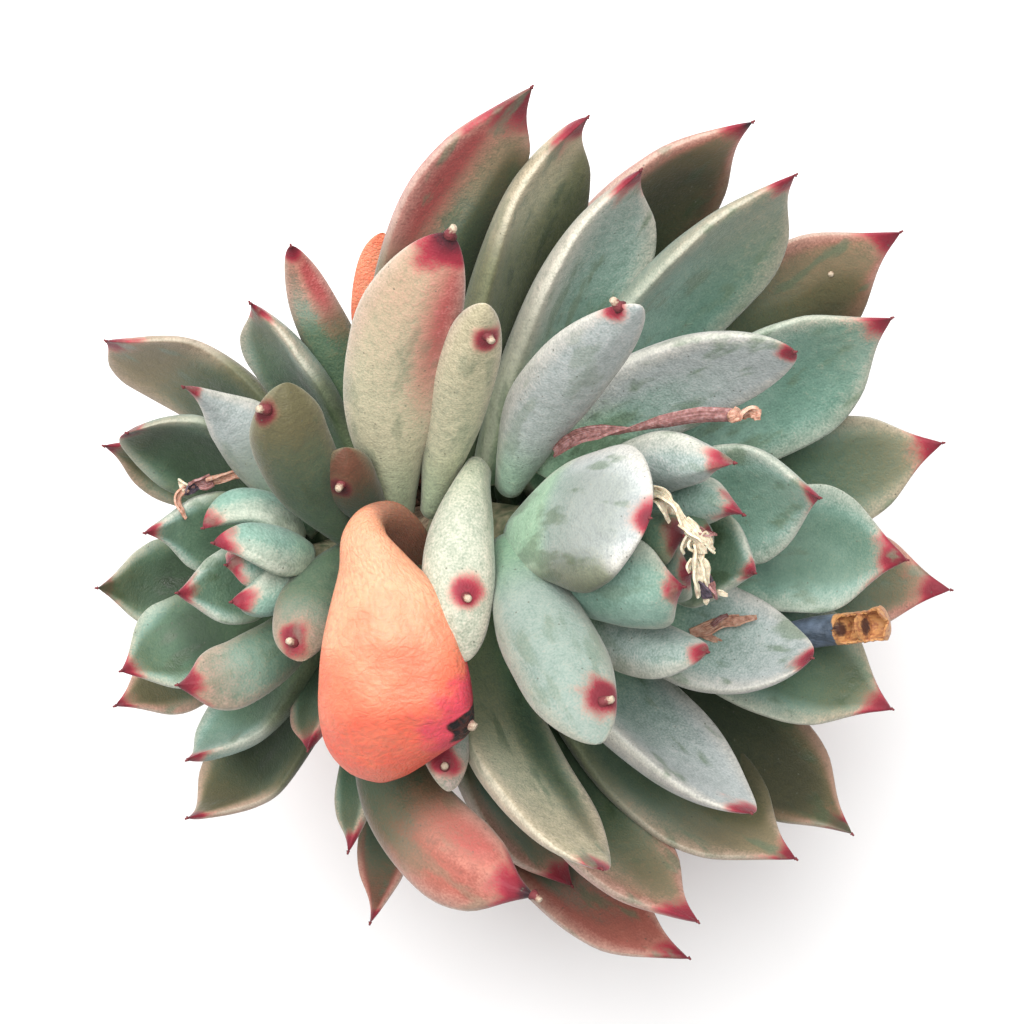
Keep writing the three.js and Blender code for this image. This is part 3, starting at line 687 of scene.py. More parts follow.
bpy.ops.object.select_all(action="DESELECT")
bpy.ops.mesh.primitive_cone_add(
    vertices=NIB_SIDES, radius1=NIB_RADIUS * MM, radius2=NIB_END_RADIUS * MM, depth=NIB_LENGTH * MM)
nib = bpy.context.object
bpy.ops.object.mode_set(mode="EDIT")
for ring in NIB_RINGS:
    bpy.ops.mesh.select_all(action="SELECT")
    bpy.ops.mesh.bisect(plane_co=(0, 0, ring["level"] * MM), plane_no=(0, 0, 1))
    bpy.ops.transform.resize(value=(ring["width"], ring["width"], 1))
    bpy.ops.transform.translate(value=(ring["shift"][0] * MM, ring["shift"][1] * MM, 0))
bpy.ops.object.mode_set(mode="OBJECT")
bpy.ops.object.shade_smooth()
nib_points = vertices(nib)
print("dry point", len(nib_points), "vertices")


def nib_piece(name, at, out, size, paleness=1.0):
    """A copy of the dry point at a spot, leaning out, and bleached as far as its paleness."""
    turn = np.array(Vector(out).to_track_quat("Z", "Y").to_matrix())
    turned = nib_points @ turn.T * size
    piece = copy_of(nib, name, turned + at + out * NIB_LENGTH * size * NIB_STANDS)
    mark(piece, "nib", (nib_points[:, 2] / NIB_LENGTH + 0.5) * paleness)
    return piece


# %% [markdown]
# ## Steps that the finishes share
# A finish is built up as a painter works. It starts with a base that wanders between two tones, lays a tint
# wherever a mask is high, and darkens the grain. Then it is laid on the shader with a relief of the same
# grain. Patterns run through a piece in real millimetres, so a lump is as big on one piece as on the next.

# %% Painting steps
def place_in_mm(tree):
    """The place on a piece in millimetres, for a pattern that runs through all of it."""
    place = node(tree, "ShaderNodeTexCoord").outputs["Object"]
    return node(tree, "ShaderNodeMapping", {"Vector": place, "Scale": (1 / MM, 1 / MM, 1 / MM)}).outputs[0]


def noise_at(tree, vector, size_mm, detail=2.0, stretch=(1, 1, 1)):
    """Noise from -0.5 to 0.5 whose lumps are size_mm across, on a vector counted in millimetres."""
    scaled = node(tree, "ShaderNodeMapping", {"Vector": vector, "Scale": stretch})
    lumps = node(
        tree, "ShaderNodeTexNoise",
        {"Vector": scaled.outputs[0], "Scale": 1 / size_mm, "Detail": detail})
    return node(tree, "ShaderNodeMath", {0: lumps.outputs["Fac"], 1: 0.5}, operation="SUBTRACT").outputs[0]


def two_tones(tree, grain, spread, low_tone, high_tone, interpolation="LINEAR"):
    """A colour that wanders from one tone to the other as a grain goes from -spread to spread."""
    share = node(
        tree, "ShaderNodeMapRange", {"Value": grain, "From Min": -spread, "From Max": spread},
        interpolation_type=interpolation)
    return node(
        tree, "ShaderNodeMix", {0: share.outputs[0], 6: colour(low_tone), 7: colour(high_tone)},
        data_type="RGBA").outputs[2]


def painted(tree, base, fray, layers):
    """Lays colours over a base, each where its mask is high. Fray is the noise that roughens the edges."""
    for mask, roughness, low, high, strength, code in layers:
        amount = node(tree, "ShaderNodeAttribute", attribute_name=mask).outputs["Fac"]
        frayed = node(tree, "ShaderNodeMath", {0: fray, 1: roughness, 2: amount}, operation="MULTIPLY_ADD")
        share = node(
            tree, "ShaderNodeMapRange",
            {"Value": frayed.outputs[0], "From Min": low, "From Max": high, "To Max": strength},
            interpolation_type="SMOOTHSTEP")
        base = node(
            tree, "ShaderNodeMix", {0: share.outputs[0], 6: base, 7: colour(code)},
            data_type="RGBA").outputs[2]
    return base


def grained(tree, base, grain, spread, darkest, lightest):
    """A colour made darker and lighter as a grain goes from -spread to spread."""
    tone = node(
        tree, "ShaderNodeMapRange",
        {"Value": grain, "From Min": -spread, "From Max": spread, "To Min": darkest, "To Max": lightest})
    return node(
        tree, "ShaderNodeMix", {0: 1.0, 6: base, 7: tone.outputs[0]},
        data_type="RGBA", blend_type="MULTIPLY").outputs[2]


def lay_on(tree, shader, tint, height, strength, depth_mm):
    """Gives the shader its colour, and a relief that is depth_mm deep where its height is 1."""
    tree.links.new(tint, shader.inputs["Base Color"])
    bump = node(tree, "ShaderNodeBump", {"Height": height, "Strength": strength, "Distance": depth_mm * MM})
    tree.links.new(bump.outputs[0], shader.inputs["Normal"])


print(len(bpy.data.materials), "materials so far, the packed ones among them")

# %% [markdown]
# ## Leaf skin: colours
# The skin is a waxy cuticle with a dusting of bloom, the fine powder that makes such plants look frosted.
# It scatters light softly, so the surface is rough with a faint sheen. The base green varies over about a
# centimetre. Each mask then lays its own colour over it, with an edge frayed by noise, as the crimson's
# edge is in life. The grain is drawn at a third of a millimetre, coarser than real bloom, so that it shows.

# %% Leaf skin: colours
PATCH_MM = 9.0
MOTTLE_MM = 1.6
BLOOM_GRAIN_MM = 0.33

leaf_skin, tree, shader = new_finish(
    "waxy_leaf_skin", roughness=0.6, IOR=1.42, Sheen_Weight=0.15, Sheen_Roughness=0.5)
on_leaf = node(tree, "ShaderNodeAttribute", attribute_name="leaf_mm").outputs["Vector"]
patches = noise_at(tree, on_leaf, PATCH_MM, detail=3.0, stretch=(1, 0.6, 1))
mottle = noise_at(tree, on_leaf, MOTTLE_MM, detail=4.0)
grain = noise_at(tree, on_leaf, BLOOM_GRAIN_MM, detail=3.0)
fray = node(tree, "ShaderNodeMath", {0: mottle, 1: 0.55, 2: grain}, operation="MULTIPLY_ADD").outputs[0]

green = two_tones(tree, patches, 0.2, "#668c7b", "#84a596", interpolation="SMOOTHSTEP")
skin_colour = painted(tree, green, fray, [
    ("olive", 0.4, 0.2, 1.05, 0.95, "#8d7d5f"),
    ("cream", 0.4, 0.15, 0.95, 0.9, "#cbc19f"),
    ("blush", 0.45, 0.2, 1.1, 0.9, "#a9574c"),
    ("streak", 0.5, 0.1, 0.6, 0.7, "#bd7c6b"),
    ("streak", 0.45, 0.45, 1.05, 0.85, "#a83c40"),
    ("bloom", 0.5, 0.12, 1.0, 0.7, "#bcbabd"),
    ("bloom", 0.4, 1.0, 1.9, 0.8, "#e2e3dc"),
    ("mint", 0.3, 0.15, 0.85, 0.6, "#97c096"),
    # The two rim layers paint the margins paler: partly the margins' own paler colour, partly a painted
    # highlight along the edge.
    ("rim", 0.25, 0.6, 1.0, 0.34, "#c8b9a7"),
    ("rim", 0.04, 0.96, 1.0, 0.25, "#dcdccb"),
    ("red", 0.6, 0.02, 0.55, 0.5, "#c48a78"),
    ("red", 0.4, 0.25, 0.85, 0.95, "#9e1f36"),
    ("red", 0.3, 0.7, 1.0, 0.8, "#760f26"),
    ("char", 0.3, 0.1, 0.5, 0.95, "#25121a"),
])
print("leaf skin colours", len(tree.nodes), "nodes")

# %% [markdown]
# ## Leaf skin: rubs, shade and specks
# Where the leaf was touched the powder is gone, and it is darker and a little glossier there. The deep mask
# is
# painted shade: it multiplies in a grey-green over the hollows, the gaps and the sides in shadow, twice where
# a gap is darkest.
# A few dark specks sit about two millimetres apart, as dust and spray leave them. The powder's own grain
# comes last.

# %% Leaf skin: rubs, shade and specks
RUB_MM = 3.6
SPECK_SPACING_MM = 1.9
SHADE_STEPS = ((0.1, 1.0), (0.8, 2.0))

worn = node(tree, "ShaderNodeAttribute", attribute_name="wear").outputs["Fac"]
rub_noise = noise_at(tree, on_leaf, RUB_MM, detail=5.0, stretch=(1, 0.35, 1))
rubs = node(
    tree, "ShaderNodeMapRange", {"Value": rub_noise, "From Min": 0.05, "From Max": 0.16, "To Max": 1.0},
    interpolation_type="SMOOTHSTEP")
rubbed = node(tree, "ShaderNodeMath", {0: rubs.outputs[0], 1: worn}, operation="MULTIPLY").outputs[0]
rubbed_off = node(tree, "ShaderNodeMath", {0: rubbed, 1: 0.65}, operation="MULTIPLY").outputs[0]
skin_colour = node(
    tree, "ShaderNodeMix", {0: rubbed_off, 6: skin_colour, 7: colour("#667a61")},
    data_type="RGBA").outputs[2]

# Painted shade: the deep mask, roughened by noise, multiplies a grey-green into the colour, a second time
# from 0.8 on, so the darkest gaps go nearly black-green.
deep = node(tree, "ShaderNodeAttribute", attribute_name="deep").outputs["Fac"]
deep = node(tree, "ShaderNodeMath", {0: fray, 1: 0.35, 2: deep}, operation="MULTIPLY_ADD").outputs[0]
for low, high in SHADE_STEPS:
    amount = node(
        tree, "ShaderNodeMapRange", {"Value": deep, "From Min": low, "From Max": high, "To Max": 1.0},
        interpolation_type="SMOOTHSTEP")
    skin_colour = node(
        tree, "ShaderNodeMix", {0: amount.outputs[0], 6: skin_colour, 7: colour("#a2aa94")},
        data_type="RGBA", blend_type="MULTIPLY").outputs[2]

cells = node(
    tree, "ShaderNodeTexVoronoi", {"Vector": on_leaf, "Scale": 1 / SPECK_SPACING_MM, "Randomness": 1.0})
specks = node(
    tree, "ShaderNodeMapRange",
    {"Value": cells.outputs["Distance"], "From Min": 0.1, "From Max": 0.05, "To Max": 0.7})
skin_colour = node(
    tree, "ShaderNodeMix", {0: specks.outputs[0], 6: skin_colour, 7: colour("#55564a")},
    data_type="RGBA").outputs[2]
skin_colour = grained(tree, skin_colour, fray, 0.26, 0.7, 1.12)

gloss = node(
    tree, "ShaderNodeMapRange", {"Value": rubbed, "From Max": 1.0, "To Min": 0.62, "To Max": 0.4})
tree.links.new(gloss.outputs[0], shader.inputs["Roughness"])
relief = node(tree, "ShaderNodeMath", {0: mottle, 1: 2.0, 2: grain}, operation="MULTIPLY_ADD").outputs[0]
lay_on(tree, shader, skin_colour, relief, strength=0.5, depth_mm=0.2)
print("leaf skin", len(tree.nodes), "nodes")

# %% [markdown]
# ## Dry point and stem finishes
# A dead point has lost its sap: brown near the leaf and bleached at its end, like straw. The stems that
# carry the leaves are young bark, green-brown with a corky grain.

# %% Dry point and young stem
dry_point, tree, shader = new_finish("dried_leaf_point", roughness=0.75)
straw_grain = noise_at(tree, place_in_mm(tree), 0.3)
straw = painted(tree, colour("#6e2c30"), straw_grain, [
    ("nib", 0.8, 0.5, 0.85, 1.0, "#a8917c"),
    ("nib", 0.8, 0.8, 1.05, 0.7, "#cdbda6"),
])
lay_on(tree, shader, straw, straw_grain, strength=0.6, depth_mm=0.2)

young_stem, tree, shader = new_finish("young_corky_stem", roughness=0.8)
cork = noise_at(tree, place_in_mm(tree), 1.5, detail=4.0)
cork_colour = two_tones(tree, cork, 0.2, "#5f6a4e", "#9b9276")
lay_on(tree, shader, cork_colour, cork, strength=0.8, depth_mm=0.6)
print("finishes", [material.name for material in (leaf_skin, dry_point, young_stem)])

# %% [markdown]
# ## The two heads
# A head is its stem with leaves all round it. The leaves of the view are listed one by one, because each
# has its own bend and age, and no formula gives a living plant's order. Each has its root, the middle of
# its midrib and its tip as places in the view, and its width and thickness in millimetres. `roll` turns the
# leaf's back up and `back_up` shows it without a turn, `cup` hollows its face, `blunt` rounds its end, and
# `shoulder` and `start` change its outline. `mucro` is where the point stands on a hooded leaf, `nib` how
# big it is, and `wart` where a wart stands. `tone` is its share of olive, blush and bloom, `mint` and
# `cream` add those tints, `deep` paints shade into its hollow and `shade` paints shade over all of it (below
# 0 it lightens), `red` is how far the crimson reaches in millimetres and `char` how dark its very end is.
# `turned`, `shadow` and `streak` name a side of the view, and the part of the leaf on that side shows its
# back, gets painted shadow or has a red flush. What a leaf leaves out it takes from its head: below are the
# heads' own values, with their stems and the way each head looks.

# %% Stems and axes of the heads
LARGE_HEAD = {
    "stem": [(462, 545, 76), (510, 543, 88), (606, 551, 98)],
    "radius": (7.0, 4.5),
    "apex": (600, 550, 97),
    "ring": (685, 555, 110),
    "forward": 22,
    "width": 20,
    "thick": 7,
    "cup": 0.16,
    "deep": 0.5,
}
SMALL_HEAD = {
    "stem": [(396, 552, 72), (362, 560, 79), (298, 572, 86)],
    "radius": (5.6, 3.4),
    "apex": (300, 572, 86),
    "ring": (243, 578, 93),
    "forward": 15,
    "width": 15,
    "thick": 5.6,
    "cup": 0.14,
    "deep": 0.85,
}
print("usual leaf widths", LARGE_HEAD["width"], "and", SMALL_HEAD["width"], "mm")

# %% [markdown]
# ## Leaves of the large head
# They are named for the side of the head on which the view shows them, and numbered there. The outer ones
# are long and lie low, and the inner ones are short and stand up over the heart.

# %% Leaves of the large head
LARGE_LEAVES = {
    "upper_1": dict(root=(408, 480, 76), mid=(424, 268, 92), tip=(532, 87, 116), width=18, roll=20, cup=0.08,
                    tone=(0.8, 0.5, 0.0), cream=0.35, deep=0.8, shadow=(1, -0.3, 0.45),
                    turned=(-1, 0.5, -0.4), streak=(-1, 0.5, 1.5), red=10, char=0.15),
    "upper_2": dict(root=(462, 500, 80), mid=(518, 242, 93), tip=(588, 117, 107), width=21, roll=-8,
                    tone=(0.75, 0.1, 0.1), cream=0.6, deep=0.0, shadow=(1, -0.4, 0.2), turned=(-1, 0.4, -0.7),
                    red=6.5),
    "upper_3": dict(root=(492, 490, 84), mid=(570, 290, 91), tip=(641, 170, 106), width=22, roll=-4,
                    tone=(0.3, 0.0, 0.65), cream=0.65, deep=0.0, shade=-0.2, turned=(-1, 0.4, 0.1), red=6),
    "upper_4": dict(root=(490, 480, 76), mid=(592, 264, 74), tip=(753, 122, 92), width=20,
                    tone=(0.9, 0.9, 0.0), deep=0.9, shadow=(0.5, -1, -0.1), red=5, char=0.5),
    "upper_5": dict(root=(520, 490, 86), mid=(647, 320, 80), tip=(796, 175, 98), width=23, roll=-8,
                    tone=(0.42, 0.12, 0.15), mint=1.5, deep=0.0, shade=-0.2, red=5),
    "upper_6": dict(root=(530, 510, 78), mid=(715, 346, 64), tip=(901, 232, 74), width=22,
                    tone=(0.95, 0.8, 0.0), deep=0.4, shadow=(0.2, -1, 0.1), wart=(834, 278), red=6),
    "upper_7": dict(root=(545, 520, 90), mid=(730, 404, 80), tip=(892, 318, 90), width=22,
                    tone=(0.2, 0.08, 0.25), deep=0.3, red=5),
    "upper_8": dict(root=(540, 480, 94), mid=(660, 388, 98), tip=(795, 352, 112), width=16, roll=18, cup=0.08,
                    tone=(0.1, 0.1, 1.15), deep=0.1, turned=(-0.2, 1, 0.1), blunt=True, red=4),
    "upper_9": dict(root=(508, 488, 92), mid=(554, 390, 110), tip=(640, 306, 134), mucro=(620, 304),
                    width=11.5, roll=55, cup=0.02, tone=(0.15, 0.05, 0.9), red=3.2),
    "right_1": dict(root=(560, 530, 84), mid=(755, 486, 70), tip=(943, 443, 74), width=18,
                    tone=(0.5, 0.1, 0.0), deep=0.7, red=5),
    "right_2": dict(root=(600, 530, 95), mid=(735, 498, 92), tip=(820, 498, 104), width=19,
                    tone=(0.15, 0.05, 0.4), deep=0.5, red=4.2),
    "right_3": dict(root=(590, 550, 92), mid=(782, 548, 80), tip=(907, 560, 86), width=19.5,
                    tone=(0.12, 0.05, 0.35), deep=0.6, red=5.5),
    "right_4": dict(root=(560, 550, 84), mid=(780, 572, 66), tip=(951, 590, 68), width=17,
                    tone=(0.6, 0.8, 0.0), deep=0.7, red=6.5),
    "inner_1": dict(root=(585, 495, 98), mid=(664, 460, 112), tip=(735, 463, 122), width=9.5, roll=60,
                    cup=0.02, shoulder=0.55, tone=(0.1, 0.05, 0.7), red=4),
    "inner_2": dict(root=(610, 510, 98), mid=(690, 500, 106), tip=(744, 515, 114), width=8, roll=60, cup=0.02,
                    shoulder=0.55, tone=(0.15, 0.1, 0.4), red=4),
    "inner_3": dict(root=(612, 540, 99), mid=(650, 536, 114), tip=(684, 536, 121), width=8, roll=10,
                    tone=(0.15, 0.2, 0.3), shade=0.9, red=3.4),
    "inner_4": dict(root=(512, 540, 98), mid=(574, 515, 118), tip=(650, 518, 130), width=21, cup=0.1,
                    thick=7.5, tone=(0.0, 0.08, 1.45), mint=1.9, shadow=(-0.3, -1, 0.6), back_up=True,
                    blunt=True, red=4),
    "inner_5": dict(root=(540, 572, 98), mid=(616, 586, 114), tip=(684, 587, 121), width=14, cup=0.1,
                    tone=(0.1, 0.05, 0.2), deep=1.3, red=3.3),
    "inner_6": dict(root=(610, 565, 98), mid=(655, 570, 110), tip=(692, 573, 116), width=10,
                    tone=(0.1, 0.15, 0.4), shade=0.6, red=2.6),
    "inner_7": dict(root=(610, 555, 96), mid=(705, 560, 98), tip=(755, 573, 108), width=15,
                    tone=(0.1, 0.1, 0.4), shadow=(-1, 0.3, 0.1), red=3.6),
    "inner_8": dict(root=(626, 547, 98), mid=(675, 538, 106), tip=(712, 533, 112), width=8,
                    tone=(0.1, 0.1, 0.3), shade=1.0, red=1.8),
    "inner_9": dict(root=(618, 550, 98), mid=(648, 552, 108), tip=(672, 555, 114), width=7,
                    tone=(0.2, 0.2, 0.2), shade=1.2, red=1.6),
    "lower_1": dict(root=(570, 575, 92), mid=(712, 646, 88), tip=(812, 658, 98), width=19, roll=-8,
                    tone=(0.05, 0.05, 1.0), deep=0.0, blunt=True, red=4.6),
    "lower_2": dict(root=(560, 570, 90), mid=(755, 652, 76), tip=(892, 709, 82), width=20,
                    tone=(0.45, 0.15, 0.1), deep=0.9, red=5),
    "lower_3": dict(root=(530, 570, 80), mid=(703, 718, 66), tip=(852, 834, 74), width=19,
                    tone=(0.95, 0.6, 0.0), deep=1.2, shade=0.4, shadow=(-0.8, 0.5, 0.0), red=5),
    "lower_4": dict(root=(510, 580, 82), mid=(640, 760, 70), tip=(796, 859, 82), width=22,
                    tone=(0.75, 0.35, 0.1), deep=0.5, shadow=(0.3, 1, 0.1), red=4.5),
    "lower_5": dict(root=(530, 590, 88), mid=(640, 728, 86), tip=(751, 813, 100), width=19, roll=-8,
                    tone=(0.02, 0.05, 1.15), cream=0.3, deep=0.0, turned=(-1, -0.9, 0.5), blunt=True,
                    red=5.4),
    "lower_6": dict(root=(505, 550, 98), mid=(548, 640, 116), tip=(601, 744, 128), mucro=(605, 702),
                    width=13.5, roll=75, cup=0.0, thick=7.5, tone=(0.2, 0.15, 0.65), shade=0.5, red=4.6),
    "lower_7": dict(root=(560, 590, 98), mid=(640, 647, 104), tip=(708, 652, 118), width=9.5, roll=60,
                    cup=0.02, tone=(0.1, 0.05, 0.6), blunt=True, red=4.8),
    "lower_8": dict(root=(470, 585, 84), mid=(510, 755, 90), tip=(602, 869, 114), width=17, roll=14, cup=0.1,
                    tone=(0.7, 0.2, 0.2), cream=0.62, deep=1.1, turned=(-0.8, -0.6, -0.35), blunt=True,
                    shoulder=0.66, red=5.5),
    "lower_9": dict(root=(480, 600, 78), mid=(566, 798, 76), tip=(698, 922, 92), width=18, roll=4,
                    tone=(0.75, 0.7, 0.2), cream=0.3, deep=0.6, turned=(-0.8, -0.6, 0.1), red=6),
    "lower_10": dict(root=(460, 600, 74), mid=(525, 830, 64), tip=(689, 958, 76), width=15, roll=15,
                     tone=(0.3, 2.4, 0.1), deep=0.3, shade=0.15, red=6),
    "lower_11": dict(root=(460, 620, 72), mid=(484, 760, 66), tip=(572, 886, 72), width=16,
                     tone=(0.6, 0.7, 0.2), red=5),
    "lower_12": dict(root=(520, 600, 70), mid=(592, 742, 60), tip=(662, 842, 62), width=14,
                     tone=(0.9, 0.6, 0.0), shade=0.8, red=3),
    "left_1": dict(root=(395, 640, 76), mid=(407, 803, 86), tip=(535, 896, 100), width=14, roll=70, cup=0.0,
                   tone=(0.95, 0.9, 0.0), shade=0.25, streak=(0.6, 1, 0.8), nib=1.5, red=8, char=0.5),
    "left_2": dict(root=(480, 470, 96), mid=(459, 560, 108), tip=(466, 662, 112), mucro=(467, 600),
                   width=10.5, roll=90, cup=0.0, tone=(0.25, 0.08, 0.5), cream=0.6, mint=0.35, red=3.6),
    "left_3": dict(root=(405, 520, 84), mid=(394, 380, 108), tip=(451, 233, 130), width=15, roll=75,
                   cup=0.0, blunt=True, shoulder=0.56, start=0.2,
                   tone=(0.55, 0.5, 0.2), cream=0.85, shade=-0.6, streak=(1, 0.3, 1.1), nib=1.7,
                   red=9, char=0.42),
    "left_4": dict(root=(430, 512, 88), mid=(459, 395, 108), tip=(485, 303, 128), mucro=(489, 336),
                   width=9, roll=70, cup=0.0, thick=6.4, tone=(0.7, 0.1, 0.2), cream=0.75, shade=-0.3,
                   red=3.4, char=0.5),
}
print(len(LARGE_LEAVES), "leaves in view on the large head")

# %% [markdown]
# ## Leaves of the small head
# This head looks the other way, and its leaves are shorter and narrower.

# %% Leaves of the small head
SMALL_LEAVES = {
    "upper_1": dict(root=(390, 470, 76), mid=(323, 326, 84), tip=(291, 246, 94), width=8, roll=50,
                    cup=0.0, thick=5, tone=(0.45, 0.6, 0.2), cream=0.3, streak=(1, 0.1, 1.3), blunt=True,
                    red=4.8, char=0.3),
    "upper_2": dict(root=(370, 500, 76), mid=(303, 382, 80), tip=(250, 303, 90), width=15, roll=-6,
                    tone=(0.5, 0.25, 0.3), red=4),
    "upper_3": dict(root=(350, 520, 74), mid=(224, 396, 64), tip=(106, 341, 72), width=19, roll=-14, cup=0.06,
                    shoulder=0.84, tone=(0.95, 0.35, 0.05), cream=0.15, deep=0.5, red=4.5),
    "upper_4": dict(root=(325, 530, 84), mid=(245, 430, 88), tip=(183, 387, 100), width=11, roll=50,
                    cup=0.0, shoulder=0.52, tone=(0.05, 0.12, 0.9), red=4),
    "upper_5": dict(root=(350, 535, 86), mid=(297, 458, 104), tip=(287, 382, 114), mucro=(264, 408),
                    width=11.5, roll=75, cup=0.0, thick=6.4, tone=(0.9, 0.15, 0.1), cream=0.2, shade=0.85,
                    red=2.8, char=0.7),
    "upper_6": dict(root=(310, 530, 80), mid=(206, 452, 76), tip=(127, 433, 84), width=17, roll=-6,
                    tone=(0.35, 0.08, 0.2), deep=1.2, shade=0.35, blunt=True, shoulder=0.7, red=4),
    "upper_7": dict(root=(330, 540, 74), mid=(205, 476, 62), tip=(104, 446, 72), width=12,
                    tone=(0.7, 0.4, 0.1), deep=1.0, red=4),
    "upper_8": dict(root=(388, 522, 86), mid=(352, 484, 98), tip=(346, 447, 106), mucro=(339, 484),
                    width=8, roll=75, cup=0.0, tone=(1.0, 0.75, 0.0), shade=1.1, red=2.8, char=0.3),
    "left_1": dict(root=(300, 550, 82), mid=(210, 530, 78), tip=(145, 533, 84), width=14,
                   shoulder=0.52, tone=(0.12, 0.1, 0.4), red=3),
    "left_2": dict(root=(310, 560, 76), mid=(190, 580, 62), tip=(97, 588, 68), width=14,
                   tone=(0.35, 0.08, 0.1), deep=1.2, shade=0.3, red=3.6),
    "left_3": dict(root=(290, 575, 84), mid=(228, 588, 84), tip=(177, 593, 90), width=12,
                   shoulder=0.52, tone=(0.1, 0.1, 0.4), red=3.5),
    "inner_1": dict(root=(295, 545, 88), mid=(255, 513, 94), tip=(203, 528, 98), width=8,
                    shoulder=0.38, tone=(0.15, 0.1, 0.15), red=3),
    "inner_2": dict(root=(305, 560, 90), mid=(258, 547, 98), tip=(213, 543, 102), width=10, roll=10,
                    shoulder=0.38, tone=(0.1, 0.05, 0.2), red=3.4),
    "inner_3": dict(root=(290, 570, 88), mid=(256, 566, 94), tip=(226, 565, 98), width=7,
                    tone=(0.1, 0.1, 0.3), red=3),
    "inner_4": dict(root=(300, 580, 88), mid=(268, 592, 94), tip=(231, 602, 100), width=9, roll=20,
                    shoulder=0.4, tone=(0.1, 0.05, 0.2), red=3.2),
    "lower_1": dict(root=(300, 580, 80), mid=(200, 638, 72), tip=(121, 671, 78), width=15,
                    tone=(0.25, 0.1, 0.05), deep=1.0, red=3.5),
    "lower_2": dict(root=(320, 580, 74), mid=(205, 662, 58), tip=(115, 706, 64), width=13,
                    tone=(0.9, 0.6, 0.05), deep=1.0, red=4),
    "lower_3": dict(root=(325, 590, 86), mid=(258, 662, 90), tip=(177, 685, 98), width=10, roll=60,
                    cup=0.0, tone=(0.55, 0.4, 0.35), shade=0.4, red=4.5),
    "lower_4": dict(root=(348, 555, 84), mid=(310, 605, 97), tip=(301, 662, 103), mucro=(293, 643),
                    width=9.5, roll=75, cup=0.0, tone=(0.7, 0.4, 0.4), shade=0.5, red=3.4),
    "lower_5": dict(root=(335, 600, 80), mid=(259, 709, 72), tip=(187, 760, 82), width=14, roll=-8,
                    tone=(0.15, 0.1, 0.35), deep=0.5, red=4),
    "lower_6": dict(root=(350, 610, 74), mid=(266, 757, 64), tip=(187, 818, 74), width=16,
                    tone=(0.9, 0.45, 0.05), deep=1.0, shade=0.2, red=4),
    "lower_7": dict(root=(360, 600, 78), mid=(325, 690, 78), tip=(308, 750, 84), width=10,
                    tone=(0.6, 0.6, 0.1), red=4),
    "lower_8": dict(root=(385, 640, 72), mid=(364, 760, 68), tip=(348, 852, 74), width=7.5, thick=5,
                    tone=(0.5, 0.3, 0.2), red=4),
    "lower_9": dict(root=(400, 650, 64), mid=(389, 830, 55), tip=(370, 923, 62), width=9, roll=10, thick=5,
                    tone=(0.8, 2.0, 0.0), shade=0.2, red=4),
    "lower_10": dict(root=(425, 640, 78), mid=(440, 715, 92), tip=(448, 792, 100), mucro=(445, 768),
                     width=8, roll=75, cup=0.0, tone=(0.45, 0.4, 0.5), red=3.6),
}
print(len(SMALL_LEAVES), "leaves in view on the small head")

# %% [markdown]
# ## Old leaves underneath
# Below the leaves of the view each stem carries a skirt of older, shorter ones that hang out over the pot.
# Nothing shows their places from above, so they are fanned evenly round the stem's foot, with every other
# one a little shorter.

# %% Under leaves
UNDER_FANS = {
    "large": dict(count=9, spread=(-112, 96), reach=38, root=9, rise=2, height=66, width=16, thick=5),
    "small": dict(count=6, spread=(112, 262), reach=31, root=8, rise=1, height=62, width=12, thick=4.4),
}
SHORTER = 0.86
ROOT_ABOVE = 6
MIDDLE_BELOW = 1
MIDDLE_REACH = 0.55


def under_leaves(fan, foot):
    """The fan of old leaves round a stem's foot, as leaves with their lines in millimetres."""
    made = {}
    level = fan["height"]
    for i in range(fan["count"]):
        share = i / (fan["count"] - 1)
        bearing = math.radians(fan["spread"][0] + (fan["spread"][1] - fan["spread"][0]) * share)
        outward = np.array([math.cos(bearing), math.sin(bearing), 0])
        reach = fan["reach"] * (SHORTER if i % 2 else 1)
        stations = [
            (fan["root"], level + ROOT_ABOVE), (reach * MIDDLE_REACH, level - MIDDLE_BELOW),
            (reach, level + fan["rise"])]
        line = [foot * (1, 1, 0) + outward * distance + np.array([0, 0, height + LIFT])
                for distance, height in stations]
        made[f"under_{i + 1}"] = dict(
            line=line, width=fan["width"], thick=fan["thick"], cup=0.1, tone=(0.6, 0.45, 0.2), red=4.5)
    return made


print(sum(fan["count"] for fan in UNDER_FANS.values()), "leaves underneath")

# %% [markdown]
# ## Tubes
# Stems and wood are round and change their thickness slowly. A curve with a round section is the quickest
# start: its line is smooth, and each of its points has a radius. It is made a mesh, and its caps, which
# come loose, are merged to it.

# %% Tube
STEPS_PER_SPAN = 4
MERGE_GAP = 0.001


def tube(name, points, radii, sides=12, finish=None):
    """A closed tube along points in millimetres, its radius easing from the first value to the last."""
    shares = np.linspace(0, 1, STEPS_PER_SPAN * (len(points) - 1) + 1)
    centres = route(points, shares) * MM
    widths = np.interp(shares, np.linspace(0, 1, len(radii)), radii) * MM
    line = bpy.data.curves.new(name, "CURVE")
    line.dimensions = "3D"
    line.bevel_depth = 1.0
    line.bevel_resolution = max(0, sides // 4 - 1)
    line.use_fill_caps = True
    spline = line.splines.new("POLY")
    spline.points.add(len(centres) - 1)
    for spot, centre, width in zip(spline.points, centres, widths):
        spot.co = (*centre, 1)
        spot.radius = width
    piece = bpy.data.objects.new(name, line)
    scene.collection.objects.link(piece)
    only(piece)
    bpy.ops.object.convert(target="MESH")
    piece = bpy.context.object
    close_seams(piece, MERGE_GAP)
    bpy.ops.object.shade_smooth_by_angle(angle=math.radians(50))
    if finish:
        piece.data.materials.append(finish)
    return piece


print("a tube's line has", STEPS_PER_SPAN, "steps between two of its points")

